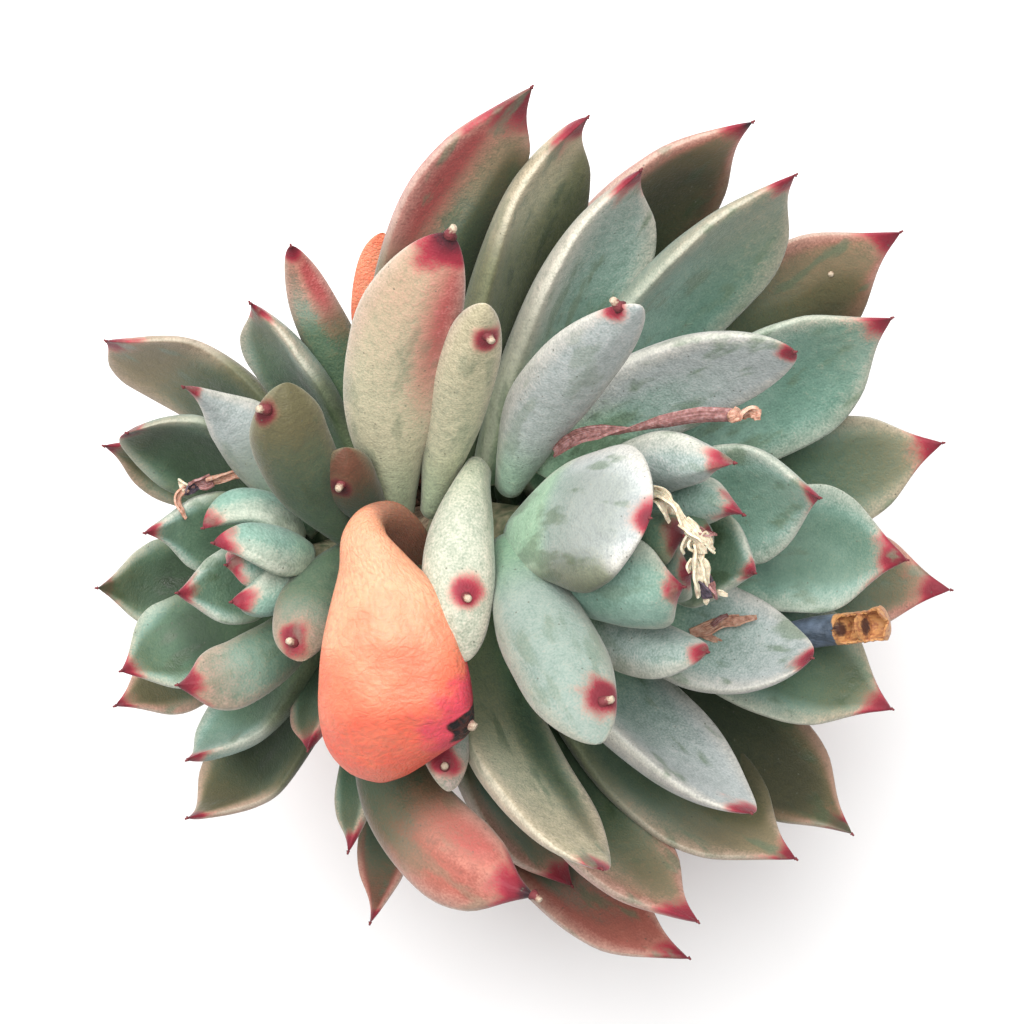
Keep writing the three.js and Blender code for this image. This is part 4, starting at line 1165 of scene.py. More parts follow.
# %% [markdown]
# ## Putting a head together
# Every leaf gets a seed for its own slight waves and colour noise, drawn in list order from one seeded
# source, so the plant comes out the same each time. At the end all of a head's leaves, points and stem are
# joined into one piece, as they grew.

# %% Build the heads
LEAF_WAVE = 0.018
PLANT_SEED = 5
draw = np.random.default_rng(PLANT_SEED)


def head_piece(name, head, listed, fan):
    """All the leaves of a head with their dry points, on their stem, in one piece."""
    stem_line = [seen(place) for place in head["stem"]]
    leaves = {}
    for key, leaf in listed.items():
        leaves[key] = dict(leaf, line=[seen(leaf[k]) for k in ("root", "mid", "tip")])
    leaves.update(under_leaves(fan, stem_line[0]))
    parts = [tube(name, stem_line, head["radius"], finish=young_stem)]
    for key, leaf in leaves.items():
        leaf["seed"] = float(draw.random())
        leaf["wave"] = LEAF_WAVE
        piece, spots = leaf_piece(f"{name}_{key}", leaf, head)
        piece.data.materials.append(leaf_skin)
        parts.append(piece)
        for kind, at, out, size, paleness in spots:
            spot = nib_piece(f"{name}_{key}_{kind}", at, out, size, paleness)
            spot.data.materials.append(dry_point)
            parts.append(spot)
    return joined(name, parts)


large_rosette = head_piece("large_rosette", LARGE_HEAD, LARGE_LEAVES, UNDER_FANS["large"])
hand_over(large_rosette, "leaf", "large_head")
small_rosette = head_piece("small_rosette", SMALL_HEAD, SMALL_LEAVES, UNDER_FANS["small"])
hand_over(small_rosette, "leaf", "small_head")

# %% [markdown]
# ## Strips and sheets
# The withered and dried pieces are thin skins, not solid blades. Each starts as a flat grid, whose two
# directions become along and across. Its points are laid on a line with a width, a twist and a curl, and a
# little noise crumples it. Solidify then gives the sheet its thickness, which also closes its edges.

# %% Helpers for thin pieces
RIBBON_COLUMNS = 8
CRUMPLES_MM = (1.6, 0.6)
FINE_CRUMPLE = 0.4


def grid(name, along, across):
    """A flat grid, with the share along (0 to 1) and across (-1 to 1) of each of its vertices."""
    bpy.ops.object.select_all(action="DESELECT")
    bpy.ops.mesh.primitive_grid_add(x_subdivisions=across, y_subdivisions=along, size=2)
    piece = bpy.context.object
    piece.name = name
    flat = vertices(piece) * MM
    return piece, (flat[:, 1] + 1) / 2, flat[:, 0]


def thicken(piece, thick):
    """Gives a sheet its thickness, on the side away from its face, and smooths it."""
    shell = piece.modifiers.new("thickness", "SOLIDIFY")
    shell.thickness = thick * MM
    shell.offset = -1
    shell.use_even_offset = False
    apply_modifiers(piece)
    bpy.ops.object.shade_smooth_by_angle(angle=math.radians(60))


def ribbon(name, path, widths, twists, curl, crumple, thick, steps, seed):
    """A thin strip along places in the view, with its width and twist, in degrees, eased between values."""
    piece, along, across = grid(name, steps, RIBBON_COLUMNS)
    centre, level, upright = beside([seen(place) for place in path], along)
    half = np.interp(along, np.linspace(0, 1, len(widths)), widths)[:, None] / 2
    turn = np.radians(np.interp(along, np.linspace(0, 1, len(twists)), twists))[:, None]
    side = level * np.cos(turn) + upright * np.sin(turn)
    face = upright * np.cos(turn) - level * np.sin(turn)
    v = across[:, None]
    points = centre + side * half * v + face * half * curl * (v**2 - 0.5)
    coarse, fine = (rough(points, size, seed) * crumple for size in CRUMPLES_MM)
    set_vertices(piece, points + face * (coarse + fine * FINE_CRUMPLE)[:, None])
    mark(piece, "along", along)
    mark(piece, "across", across)
    thicken(piece, thick)
    return piece


def scraps(name, parts, finish, seed, **shared):
    """A ribbon for each part of a scrap, in the shared finish and measures where it has none of its own."""
    made = []
    for i, part in enumerate(parts):
        measures = {"finish": finish, **shared, **part}
        own_finish = measures.pop("finish")
        piece = ribbon(f"{name}_{i}", seed=seed + i, **measures)
        piece.data.materials.append(own_finish)
        made.append(piece)
    return made


print("a ribbon is", RIBBON_COLUMNS, "cells wide")

# %% [markdown]
# ## Withered leaf
# One old leaf has dried out and hangs over the fork: an apricot skin that turns coral below and crimson
# towards its black point. It turns over on its narrow, brown base, so its rows fan round the inner margin
# and then run down the blade. The brown there is partly the base's own colour and partly painted shade in
# the hollow where the leaf turns over. Each row below is the outer and inner margin as places in the view,
# with how high the skin bulges between them. The margins curl under, which is what makes a thin skin look
# full. Cloth simulation was left aside: the leaf's folds are settled and it is seen from one side.

# %% Withered leaf
WITHERED_ROWS = [
    dict(outer=(428, 557, 89), inner=(402, 563, 89), bulge=0.8),
    dict(outer=(424, 539, 96), inner=(394, 549, 96), bulge=0.6),
    dict(outer=(410, 519, 102), inner=(386, 534, 102), bulge=0.5),
    dict(outer=(390, 507, 106), inner=(380, 528, 106), bulge=0.8),
    dict(outer=(364, 514, 108), inner=(379, 531, 109), bulge=1.4),
    dict(outer=(348, 537, 109), inner=(383, 540, 111), bulge=2.0),
    dict(outer=(345, 571, 109), inner=(403, 561, 111), bulge=3.2),
    dict(outer=(336, 608, 109), inner=(434, 594, 111), bulge=4.8),
    dict(outer=(328, 646, 109), inner=(452, 632, 111), bulge=6.2),
    dict(outer=(325, 682, 107), inner=(462, 668, 110), bulge=7.0),
    dict(outer=(325, 716, 105), inner=(467, 702, 110), bulge=7.0),
    dict(outer=(333, 746, 102), inner=(465, 728, 108), bulge=6.2),
    dict(outer=(352, 767, 100), inner=(438, 748, 104), bulge=5.2),
    dict(outer=(377, 776, 98), inner=(412, 765, 101), bulge=3.4),
    dict(outer=(391, 774, 96), inner=(400, 771, 97), bulge=1.2),
]
WITHERED_CURL = math.radians(112)
WITHERED_SKIN = 0.9
WITHERED_POINT = (465, 721, 110)
WITHERED_HALF_WIDTH = 9
WITHERED_LENGTH = 45
BUCKLES = [
    dict(size=9.0, seed=3.0, rise=0.7),
    dict(size=3.2, seed=8.0, rise=0.28),
    dict(size=1.1, seed=1.0, rise=0.09),
]

withered, down, over = grid("withered_leaf_skin", 110, 72)
outer_line = route([seen(row["outer"]) for row in WITHERED_ROWS], down)
inner_line = route([seen(row["inner"]) for row in WITHERED_ROWS], down)
bulge = np.interp(down, np.linspace(0, 1, len(WITHERED_ROWS)), [row["bulge"] for row in WITHERED_ROWS])
swing = over * WITHERED_CURL
sheet = (outer_line + inner_line) / 2 + (inner_line - outer_line) / 2 * np.sin(swing)[:, None]
sheet[:, 2] += bulge * np.cos(swing)
buckled = sum(rough(sheet, buckle["size"], buckle["seed"]) * buckle["rise"] for buckle in BUCKLES)
sheet[:, 2] += buckled * ease(down, 0.3, 0.5)
set_vertices(withered, sheet)

to_point = np.linalg.norm(sheet - seen(WITHERED_POINT), axis=1)
to_point = to_point * (1 + 0.35 * rough(sheet, 2.0, 6.0))
inner_side = ease(over, 0.5, 1.05) * ease(down, 0.45, 0.65)
mark(withered, "coral", ease(down, 0.42, 0.85) * 0.75 + ease(over, -0.1, 0.9) * 0.35 * ease(down, 0.45, 0.7))
# The brown at the top is partly the dry base's own colour and partly painted shade in the throat where the
# leaf turns over.
mark(withered, "brown", 1 - ease(down, 0.2, 0.34))
mark(withered, "red", inner_side * 0.8 + (1 - ease(to_point, 2.0, 12.0)) * 0.9)
mark(withered, "char", 1.2 * (1 - ease(to_point, 1.6, 3.9)))
mark(withered, "leaf_mm", np.stack([over * WITHERED_HALF_WIDTH, down * WITHERED_LENGTH, down * 0], axis=1))
thicken(withered, WITHERED_SKIN)
print("withered leaf", len(withered.data.polygons), "faces")

# %% [markdown]
# ## Withered skin
# With its green gone, the leaf shows carotene orange and a red that gathers where the sap dried last. The
# skin has shrunk into a net of fine creases about a millimetre apart, redder in the folds. It is thin
# enough to glow a little.

# %% Withered skin finish
CREASE_SPACING_MM = 1.1
PORE_MM = 0.45

withered_skin, tree, shader = new_finish(
    "shrunken_orange_leaf_skin", roughness=0.55, IOR=1.42, Subsurface_Weight=0.2, Subsurface_Scale=0.002)
on_leaf = node(tree, "ShaderNodeAttribute", attribute_name="leaf_mm").outputs["Vector"]
soft = noise_at(tree, on_leaf, 3.5, detail=4.0)
pores = noise_at(tree, on_leaf, PORE_MM, detail=3.0)
fray = node(tree, "ShaderNodeMath", {0: pores, 1: 0.6, 2: soft}, operation="MULTIPLY_ADD").outputs[0]
pull = node(tree, "ShaderNodeMath", {0: soft, 1: 3.0}, operation="MULTIPLY").outputs[0]
wobble = node(tree, "ShaderNodeVectorMath", {0: on_leaf, 1: pull}, operation="ADD").outputs[0]
net = node(
    tree, "ShaderNodeTexVoronoi", {"Vector": wobble, "Scale": 1 / CREASE_SPACING_MM},
    feature="DISTANCE_TO_EDGE")
crease = node(
    tree, "ShaderNodeMapRange",
    {"Value": net.outputs["Distance"], "From Min": 0.0, "From Max": 0.16, "To Min": 1.0, "To Max": 0.0},
    interpolation_type="SMOOTHSTEP").outputs[0]
crease_share = node(tree, "ShaderNodeMath", {0: crease, 1: 0.09}, operation="MULTIPLY").outputs[0]
orange = painted(tree, colour("#e39f7d"), fray, [
    ("coral", 0.9, 0.0, 0.45, 0.9, "#e87a5c"),
    ("coral", 1.0, 0.35, 1.0, 0.85, "#e05a45"),
    ("red", 0.5, 0.2, 0.85, 0.85, "#d0405a"),
    ("red", 0.5, 0.75, 1.2, 0.85, "#98182f"),
    # Brown: partly the base's own colour, partly painted shade in the throat.
    ("brown", 0.4, 0.2, 0.8, 0.95, "#8c6350"),
    ("char", 0.3, 0.25, 0.6, 1.0, "#0f080b"),
])
orange = node(
    tree, "ShaderNodeMix", {0: crease_share, 6: orange, 7: colour("#c9563f")}, data_type="RGBA").outputs[2]
orange = grained(tree, orange, pores, 0.25, 0.76, 1.12)
relief = node(tree, "ShaderNodeMath", {0: crease, 1: -0.18, 2: pores}, operation="MULTIPLY_ADD").outputs[0]
lay_on(tree, shader, orange, relief, strength=0.6, depth_mm=0.4)

withered.data.materials.append(withered_skin)
withered_nib = nib_piece("withered_nib", seen(WITHERED_POINT), unit(np.array([0.85, -0.5, 0.25])), 2.3)
withered_nib.data.materials.append(dry_point)
withered = joined("withered_leaf_skin", [withered, withered_nib])
hand_over(withered, "withered", "withered_leaf")

# %% [markdown]
# ## The second withered leaf
# An older one stands behind the uppermost leaves, and only its edge shows. It is still a plump blade with a
# round end, so it is one more copy of the leaf blank, with the withered skin's masks. A leaf with a `mucro`
# is a hooded one, and this one names no pixel for it because it has lost its point.

# %% Second withered leaf
SLIVER_HEAD = dict(LARGE_HEAD, apex=(440, 400, 60), ring=(440, 400, 80), forward=40)
SLIVER = dict(width=6, thick=3, cup=0.05, seed=0.4, wave=0.03, mucro=None,
              line=[seen(place) for place in ((408, 470, 74), (372, 330, 76), (384, 232, 82))])
SLIVER_LENGTH = 38
SLIVER_SEED = 300

points, _, across, lift = blade(SLIVER, SLIVER_HEAD, BLANK_ALONG, BLANK_ANGLE)
sliver = copy_of(blank, "withered_leaf_edge", points)
mark(sliver, "coral", 0.1 + 0.2 * BLANK_ALONG)
mark(sliver, "brown", 0.6 * (1 - ease(BLANK_ALONG, 0.1, 0.4)))
mark(sliver, "red", 0.1 * ease(BLANK_ALONG, 0.8, 1))
mark(sliver, "char", np.zeros(len(BLANK_ALONG)))
mark(sliver, "leaf_mm", np.stack([across, BLANK_ALONG * SLIVER_LENGTH, lift], axis=1) + SLIVER_SEED)
sliver.data.materials.append(withered_skin)
hand_over(sliver, "withered", "withered_leaf_behind")

# %% [markdown]
# ## Cut flower stalk
# The stalk of last season's flowers was cut and has dried. It is a smooth blue-grey tube, but its end is
# torn open along the top and shows two tan, hollow chambers with a ragged wall between them. A grid is
# rolled into the tube. Past the tear its two long edges part, frayed by noise, and the wall and the pith
# are pieces of their own inside.

# %% Stalk
STALK_PATH = [(640, 600, 84), (745, 640, 80), (822, 631, 83), (862, 627, 86), (888, 622, 88)]
STALK_RADIUS = 2.35
STALK_LENGTH = 60
STALK_WALL = 0.32
TEAR_START = 0.57
TEAR_WIDTH = 1.2
RIPPLE = 0.05

stalk, along, around = grid("cut_stalk", 90, 40)
stalk_line = [seen(place) for place in STALK_PATH]
centre, level, upright = beside(stalk_line, along)
down_stalk = along * STALK_LENGTH
fringe = rough(np.stack([down_stalk, around * 2, along * 0], axis=1), 1.1, 2.0) * 0.13
opening = ease(along, TEAR_START, TEAR_START + 0.05) * (TEAR_WIDTH + fringe)
opening *= 1 - 0.35 * ease(along, 0.93, 1.0)
turn = around * (math.pi - opening)
swell = STALK_RADIUS * (1 + 0.1 * ease(along, 0.8, 0.93))
swell = swell * np.sqrt(np.maximum(0.02, 1 - ease(along, 0.955, 1.0)))
rippled = rough(np.stack([down_stalk, np.sin(turn) * 2, np.cos(turn) * 2], axis=1), 1.5, 4.0)
ripple = 1 + RIPPLE * rippled * opening
radial = level * np.sin(turn)[:, None] - upright * np.cos(turn)[:, None]
set_vertices(stalk, centre + radial * (swell * ripple)[:, None])
mark(stalk, "along", along)
mark(stalk, "torn", ease(along + fringe * 0.1, TEAR_START - 0.01, TEAR_START + 0.02))
mark(stalk, "inside", along * 0)
close_seams(stalk, 0.02)
thicken(stalk, STALK_WALL)
print("stalk", len(stalk.data.polygons), "faces")

# %% [markdown]
# ## Inside the stalk
# The chambers' floor is dry pith. A rough plug of it closes the tube where the tear begins, and the ragged
# wall stands across the tube half way along the tear. No hole is cut: the middle of each disc is painted
# nearly black, as painted shade for a hole. Both are a round face inset a few times, so that noise has rings
# of vertices to push about.

# %% Pith and wall
DISC_SIDES = 28
DISC_INSETS = (0.25, 0.25, 0.25)
DISC_THICKNESS = 0.35


def disc_across(name, place, radius, lean, ragged, seed):
    """A rough-edged disc that stands across the stalk at a share of its length."""
    bpy.ops.object.select_all(action="DESELECT")
    bpy.ops.mesh.primitive_circle_add(vertices=DISC_SIDES, radius=radius * MM, fill_type="NGON")
    piece = bpy.context.object
    piece.name = name
    bpy.ops.object.mode_set(mode="EDIT")
    for share in DISC_INSETS:
        bpy.ops.mesh.inset(thickness=radius * share * MM)
    bpy.ops.object.mode_set(mode="OBJECT")
    flat = vertices(piece)
    reach = np.linalg.norm(flat[:, :2], axis=1)
    bumps = rough(flat, 0.8, seed)
    flat[:, 2] += bumps * ragged + (1 - reach / radius) * ragged
    flat[:, :2] *= 1 + (0.16 * bumps * (reach / radius) ** 2)[:, None]
    spot, next_spot = route(stalk_line, [place, place + 0.01])
    facing = Vector(unit(unit(next_spot - spot) + np.array([0, 0, lean])))
    turned = flat @ np.array(facing.to_track_quat("Z", "Y").to_matrix()).T
    set_vertices(piece, turned + spot)
    mark(piece, "along", np.full(len(flat), place))
    mark(piece, "torn", np.ones(len(flat)))
    # Painted shade: the middle of the disc is marked to go nearly black, in place of a hole.
    mark(piece, "inside", 1 - ease(reach / radius, 0.35, 0.75))
    thicken(piece, DISC_THICKNESS)
    return piece


pith = disc_across("stalk_pith", TEAR_START + 0.02, STALK_RADIUS * 0.93, lean=1.2, ragged=0.35, seed=5.0)
wall = disc_across("stalk_wall", 0.77, STALK_RADIUS * 0.98, lean=0.25, ragged=0.25, seed=9.0)
print("pith and wall", len(pith.data.polygons) + len(wall.data.polygons), "faces")

# %% [markdown]
# ## Stalk finish
# The outside of the stalk keeps its blue-grey wax. Where it is torn, dry fibres show tan and red-brown, and
# the middle of each disc is painted nearly black, as painted shade for a hole. The fibres run along the
# stalk, so their noise is stretched that way.

# %% Stalk finish
stalk_skin, tree, shader = new_finish("waxed_stalk_and_torn_fibre", roughness=0.6, Sheen_Weight=0.1)
in_mm = place_in_mm(tree)
fibre = noise_at(tree, in_mm, 0.5, detail=4.0, stretch=(0.25, 1, 1))
blotch = noise_at(tree, in_mm, 2.2, detail=3.0)
stalk_colour = painted(tree, two_tones(tree, blotch, 0.2, "#2f3a45", "#586679"), fibre, [
    ("torn", 0.6, 0.4, 0.7, 1.0, "#c08a54"),
    ("torn", 2.2, 0.75, 1.35, 0.75, "#8a4a32"),
    # Painted shade: the discs' middles go nearly black in place of a hole.
    ("inside", 0.8, 0.3, 0.9, 0.95, "#3b1c14"),
])
lay_on(tree, shader, stalk_colour, fibre, strength=0.7, depth_mm=0.4)
for part in (stalk, pith, wall):
    part.data.materials.append(stalk_skin)
stalk = joined("cut_stalk", [stalk, pith, wall])
hand_over(stalk, "stalk", "flower_stalk")

# %% [markdown]
# ## Papery scraps
# What fell into the rosettes has dried to paper: a twisted leaf strip across the upper leaves, a cream
# flower in the heart of the large head, a few bracts beside it and a hooked scrap in the small head. Each
# is made of ribbons. The finish is one recipe with four palettes: fibres run along the strip, with darker
# grooves, and thin paper lets some light through.

# %% Papery finish
def papery(name, pale, mid, dark):
    """Dry plant paper in three tones, its fibres running along the strip."""
    material, tree, shader = new_finish(name, roughness=0.75, Subsurface_Weight=0.15, Subsurface_Scale=0.0008)
    along = node(tree, "ShaderNodeAttribute", attribute_name="along").outputs["Fac"]
    across = node(tree, "ShaderNodeAttribute", attribute_name="across").outputs["Fac"]
    strip = node(tree, "ShaderNodeCombineXYZ", {"X": along, "Y": across}).outputs[0]
    fibres = noise_at(tree, strip, 0.35, detail=4.0, stretch=(1, 3.0, 1))
    crumbs = noise_at(tree, place_in_mm(tree), 0.7, detail=4.0)
    tone = node(tree, "ShaderNodeMath", {0: crumbs, 1: fibres}, operation="ADD").outputs[0]
    share = node(tree, "ShaderNodeMapRange", {"Value": tone, "From Min": -0.35, "From Max": 0.35})
    ramp = node(tree, "ShaderNodeValToRGB", {"Fac": share.outputs[0]})
    ramp.color_ramp.elements[0].color = colour(dark)
    ramp.color_ramp.elements[1].color = colour(pale)
    ramp.color_ramp.elements.new(0.5).color = colour(mid)
    lay_on(tree, shader, ramp.outputs["Color"], tone, strength=0.7, depth_mm=0.3)
    return material


pink_paper = papery("dried_leaf_paper", "#bd9795", "#8a5f5b", "#54302b")
tan_paper = papery("dried_bract_paper", "#dcb9a4", "#b98a74", "#7a4c3e")
cream_paper = papery("dried_petal_paper", "#f0e6d2", "#d6c8ac", "#93806c")
dark_paper = papery("dried_anther_crumb", "#6b5a66", "#3f3540", "#241c24")
print("papers", [material.name for material in (pink_paper, tan_paper, cream_paper, dark_paper)])

# %% [markdown]
# ## Dry strip
# The strip is a leaf that shrivelled to a twist of pink-brown skin. It lies across the upper leaves of the
# large head and ends in a paler, tightly curled tail. One ribbon could hold both, but the tail is crumpled
# far more, so it is a ribbon of its own.

# %% Dry strip over the upper leaves
strip = ribbon(
    "dry_strip_blade",
    [(553, 452, 104), (575, 438, 108), (600, 432, 110.5), (632, 428, 112.5), (665, 421, 114),
     (700, 415, 115), (738, 415, 116.5)],
    widths=[1.2, 1.9, 1.9, 1.2, 1.4, 1.7, 1.4], twists=[20, 25, 30, 95, 165, 170, 160],
    curl=0.7, crumple=0.12, thick=0.35, steps=90, seed=1.0)
strip_end = ribbon(
    "dry_strip_end",
    [(731, 413, 116.5), (741, 417, 117), (750, 413, 117.6), (761, 414, 118)],
    widths=[1.3, 2.0, 1.3, 1.0], twists=[160, 250, 330, 380],
    curl=0.9, crumple=0.5, thick=0.5, steps=30, seed=7.0)
strip.data.materials.append(pink_paper)
strip_end.data.materials.append(tan_paper)
strip = joined("dry_strip", [strip, strip_end])
hand_over(strip, "dry", "dry_leaf")

# %% [markdown]
# ## Shrivelled flower
# The flower hangs over the heart of the rosette on a thin stalk that flattens as it comes. Its calyx curls
# out in little arms, its petals cling together, and a dark crumb of anthers shows at their end. Each part
# is a ribbon of the same crumpled paper, with its own path, widths, twists and curl.

# %% Dry flower
FLOWER_PARTS = [
    dict(path=[(650, 492, 121), (662, 494, 124), (672, 503, 125.5), (681, 516, 125.5), (686, 527, 125.5)],
         widths=[1.5, 1.4, 1.0, 0.9, 1.0], twists=[10, 30, 60, 40, 30], curl=0.8),
    dict(path=[(650, 493, 121), (660, 499, 123.5), (665, 510, 124), (670, 522, 123)],
         widths=[1.5, 1.5, 0.9, 0.35], twists=[0, 20, 45, 60], curl=0.6),
    dict(path=[(684, 522, 125), (692, 531, 126.5), (699, 541, 126.5), (701, 552, 126)],
         widths=[1.4, 2.1, 2.0, 1.6], twists=[0, 40, 80, 120], curl=1.0),
    dict(path=[(700, 545, 126.5), (697, 562, 126.5), (698, 578, 126), (699, 597, 125)],
         widths=[1.7, 1.5, 1.6, 0.4], twists=[20, 60, 30, 70], curl=1.0),
    dict(path=[(700, 558, 126), (706, 566, 126), (707, 577, 125.5), (708, 586, 125)],
         widths=[0.8, 0.9, 0.8, 0.5], twists=[60, 20, 40, 60], curl=0.8),
    dict(path=[(695, 533, 126), (688, 540, 125), (683, 548, 124), (684, 553, 123.5)],
         widths=[1.1, 0.9, 0.7, 0.3], twists=[0, 30, 60, 90], curl=0.7),
    dict(path=[(698, 538, 126.5), (692, 543, 126), (691, 548, 125.5), (695, 551, 125)],
         widths=[0.8, 0.7, 0.6, 0.4], twists=[0, 40, 80, 120], curl=0.6),
    dict(path=[(702, 536, 126.5), (708, 541, 126), (711, 547, 125.5), (715, 551, 125)],
         widths=[1.3, 1.2, 1.0, 0.6], twists=[0, 30, 50, 60], curl=0.9),
    dict(path=[(699, 530, 126), (705, 533, 126), (711, 533, 126), (716, 532, 125.5)],
         widths=[0.7, 0.6, 0.5, 0.3], twists=[0, 30, 50, 60], curl=0.6, finish=pink_paper),
    dict(path=[(693, 560, 125.5), (690, 566, 125), (691, 572, 124.5)],
         widths=[0.4, 0.6, 0.3], twists=[0, 30, 60], curl=0.6),
    dict(path=[(703, 578, 124.5), (706, 587, 124.8), (707, 597, 124.5)],
         widths=[1.6, 2.2, 1.2], twists=[10, 60, 130], curl=1.3, finish=dark_paper),
    dict(path=[(711, 583, 125), (714, 590, 125), (717, 598, 124.5)],
         widths=[0.6, 0.7, 0.4], twists=[0, 50, 100], curl=0.8, finish=pink_paper),
    dict(path=[(712, 594, 124.5), (709, 599, 124.3), (705, 602, 124)],
         widths=[0.9, 0.9, 0.5], twists=[0, 90, 180], curl=1.0),
    dict(path=[(718, 592, 124.3), (723, 593, 124), (728, 594, 123.8)],
         widths=[0.35, 0.45, 0.25], twists=[0, 20, 40], curl=0.4),
]

petals = scraps("flower_part", FLOWER_PARTS, cream_paper, seed=11.0, crumple=0.22, thick=0.32, steps=26)
flower_stem = tube("flower_stem", [seen(p) for p in ((690, 548, 108), (676, 520, 117), (660, 497, 122.5))],
                   (0.5, 0.6, 0.5), finish=cream_paper)
for mask in ("along", "across"):
    mark(flower_stem, mask, np.zeros(len(flower_stem.data.vertices)))
dry_bloom = joined("dry_bloom", petals + [flower_stem])
hand_over(dry_bloom, "dry_flower", "dry_flower")

# %% [markdown]
# ## Dry bracts
# Bracts are the small leaves of a flower stalk. A few fell beside the heart and dried there, one on
# another. They lie flat, so their ribbons are nearly level and only curl a little.

# %% Bracts beside the heart
BRACT_PARTS = [
    dict(path=[(690, 633, 90.4), (706, 629, 90.4), (722, 622, 90.2), (740, 620, 90)],
         widths=[1.0, 1.9, 1.5, 1.4]),
    dict(path=[(733, 622, 90.2), (745, 619, 90.2), (757, 617, 89.8)], widths=[1.3, 0.8, 0.4]),
    dict(path=[(700, 631, 90.4), (712, 638, 90.2), (722, 642, 90)], widths=[1.2, 0.8, 0.3]),
    dict(path=[(712, 626, 90.8), (720, 618, 91.2), (728, 615, 91)],
         widths=[0.5, 0.5, 0.3], finish=pink_paper),
]
bracts = joined("dry_bract_scraps", scraps(
    "bract_part", BRACT_PARTS, tan_paper, seed=31.0,
    twists=[0, 25, 10], curl=0.5, crumple=0.18, thick=0.28, steps=24))
hand_over(bracts, "dry", "dry_bract")

# %% [markdown]
# ## Dry hook
# The scrap in the small head is a dried shoot tip. It comes out from between the leaves, forks, and one
# branch hooks downwards. Each branch is a ribbon that overlaps the one before, since dried plants rarely
# part cleanly.

# %% Hooked scrap in the small head
HOOK_PARTS = [
    dict(path=[(250, 473, 84.5), (236, 474, 84), (222, 478, 83.5), (208, 482, 83)],
         widths=[0.9, 1.0, 1.7, 1.5]),
    dict(path=[(212, 480, 83.2), (204, 483, 83.2), (197, 484, 83), (190, 486, 82.8)],
         widths=[1.5, 1.8, 1.6, 0.9], finish=pink_paper),
    dict(path=[(195, 485, 82.9), (190, 490, 82.6), (186, 495, 82.4)],
         widths=[1.2, 1.3, 0.6], finish=dark_paper),
    dict(path=[(186, 488, 83), (181, 484, 83), (178, 481, 82.8)],
         widths=[0.8, 0.9, 0.6], finish=cream_paper),
    dict(path=[(187, 488, 83), (179, 495, 82.8), (178, 504, 82.4), (183, 512, 82.2), (187, 518, 82)],
         widths=[0.7, 0.8, 0.7, 0.6, 0.4]),
]
hook = joined("dry_hook_scraps", scraps(
    "hook_part", HOOK_PARTS, tan_paper, seed=51.0,
    twists=[0, 40, 70], curl=0.9, crumple=0.2, thick=0.3, steps=24))
hand_over(hook, "dry", "dry_hook")

# %% [markdown]
# ## Trunk
# Below the heads the plant stands on a short bare trunk that forks in two. Old echeveria wood is corky and
# ringed by the scars of fallen leaves. Three tubes are joined and remeshed into one skin, which rounds the
# fork as growth would, and the rings and cork are then pushed out of it by noise.

# %% Trunk
TRUNK_RADIUS = 6.2
LARGE_ARM_RADIUS = 5.6
SMALL_ARM_RADIUS = 4.8
TRUNK_SUNK = 16
SOIL_TOP = 53
TRUNK_PATH = [(438, 552, 44), (432, 545, 56), (428, 546, 64)]
ARM_TO_LARGE = [(428, 546, 60), (448, 545, 69), (470, 543, 76)]
ARM_TO_SMALL = [(428, 546, 60), (408, 548, 66), (390, 552, 71)]
SKIN_VOXEL = 0.7
SCAR_SPACING = 2.6
SCAR_DEPTH = 0.28
CORK_DEPTH = 0.18

trunk_foot = seen(TRUNK_PATH[0]) * (1, 1, 0) + np.array([0, 0, SOIL_TOP - TRUNK_SUNK])
trunk_line = [trunk_foot] + [seen(p) for p in TRUNK_PATH]
trunk = joined("trunk_wood", [
    tube("trunk_wood", trunk_line, (TRUNK_RADIUS, TRUNK_RADIUS), sides=24),
    tube("arm_large", [seen(p) for p in ARM_TO_LARGE], (TRUNK_RADIUS, LARGE_ARM_RADIUS), sides=24),
    tube("arm_small", [seen(p) for p in ARM_TO_SMALL], (TRUNK_RADIUS, SMALL_ARM_RADIUS), sides=24),
])
skin = trunk.modifiers.new("one_skin", "REMESH")
skin.mode = "VOXEL"
skin.voxel_size = SKIN_VOXEL * MM
soften = trunk.modifiers.new("soften", "SMOOTH")
soften.iterations = 6
apply_modifiers(trunk)
wood = vertices(trunk)
normals = np.empty(wood.size)
trunk.data.vertices.foreach_get("normal", normals)
rings = np.sin(wood[:, 2] * 2 * math.pi / SCAR_SPACING + rough(wood, 6.0, 2.0) * 4)
relief = SCAR_DEPTH * (0.5 + rings / 2) ** 3 + rough(wood, 1.8, 5.0) * CORK_DEPTH
set_vertices(trunk, wood + normals.reshape(-1, 3) * relief[:, None])
only(trunk)
bpy.ops.object.shade_smooth()

bark, tree, shader = new_finish("corky_scarred_bark", roughness=0.88)
cork = noise_at(tree, place_in_mm(tree), 2.4, detail=5.0, stretch=(1, 1, 2.2))
lay_on(tree, shader, two_tones(tree, cork, 0.22, "#5a4735", "#a08c72"), cork, strength=0.9, depth_mm=0.8)
trunk.data.materials.append(bark)
hand_over(trunk, "bark", "trunk")

# %% [markdown]
# ## Clay pot
# The pot isn't in view, so it is the plain one that such a plant is sold in: thrown from earthenware, with
# a thick rolled rim and three drain holes. It starts as one round face, which is extruded up the outside,
# over the rim and down the inside, ring by ring, as the potter's hand goes. Three drills cut the holes, and
# a narrow bevel takes the edges off.

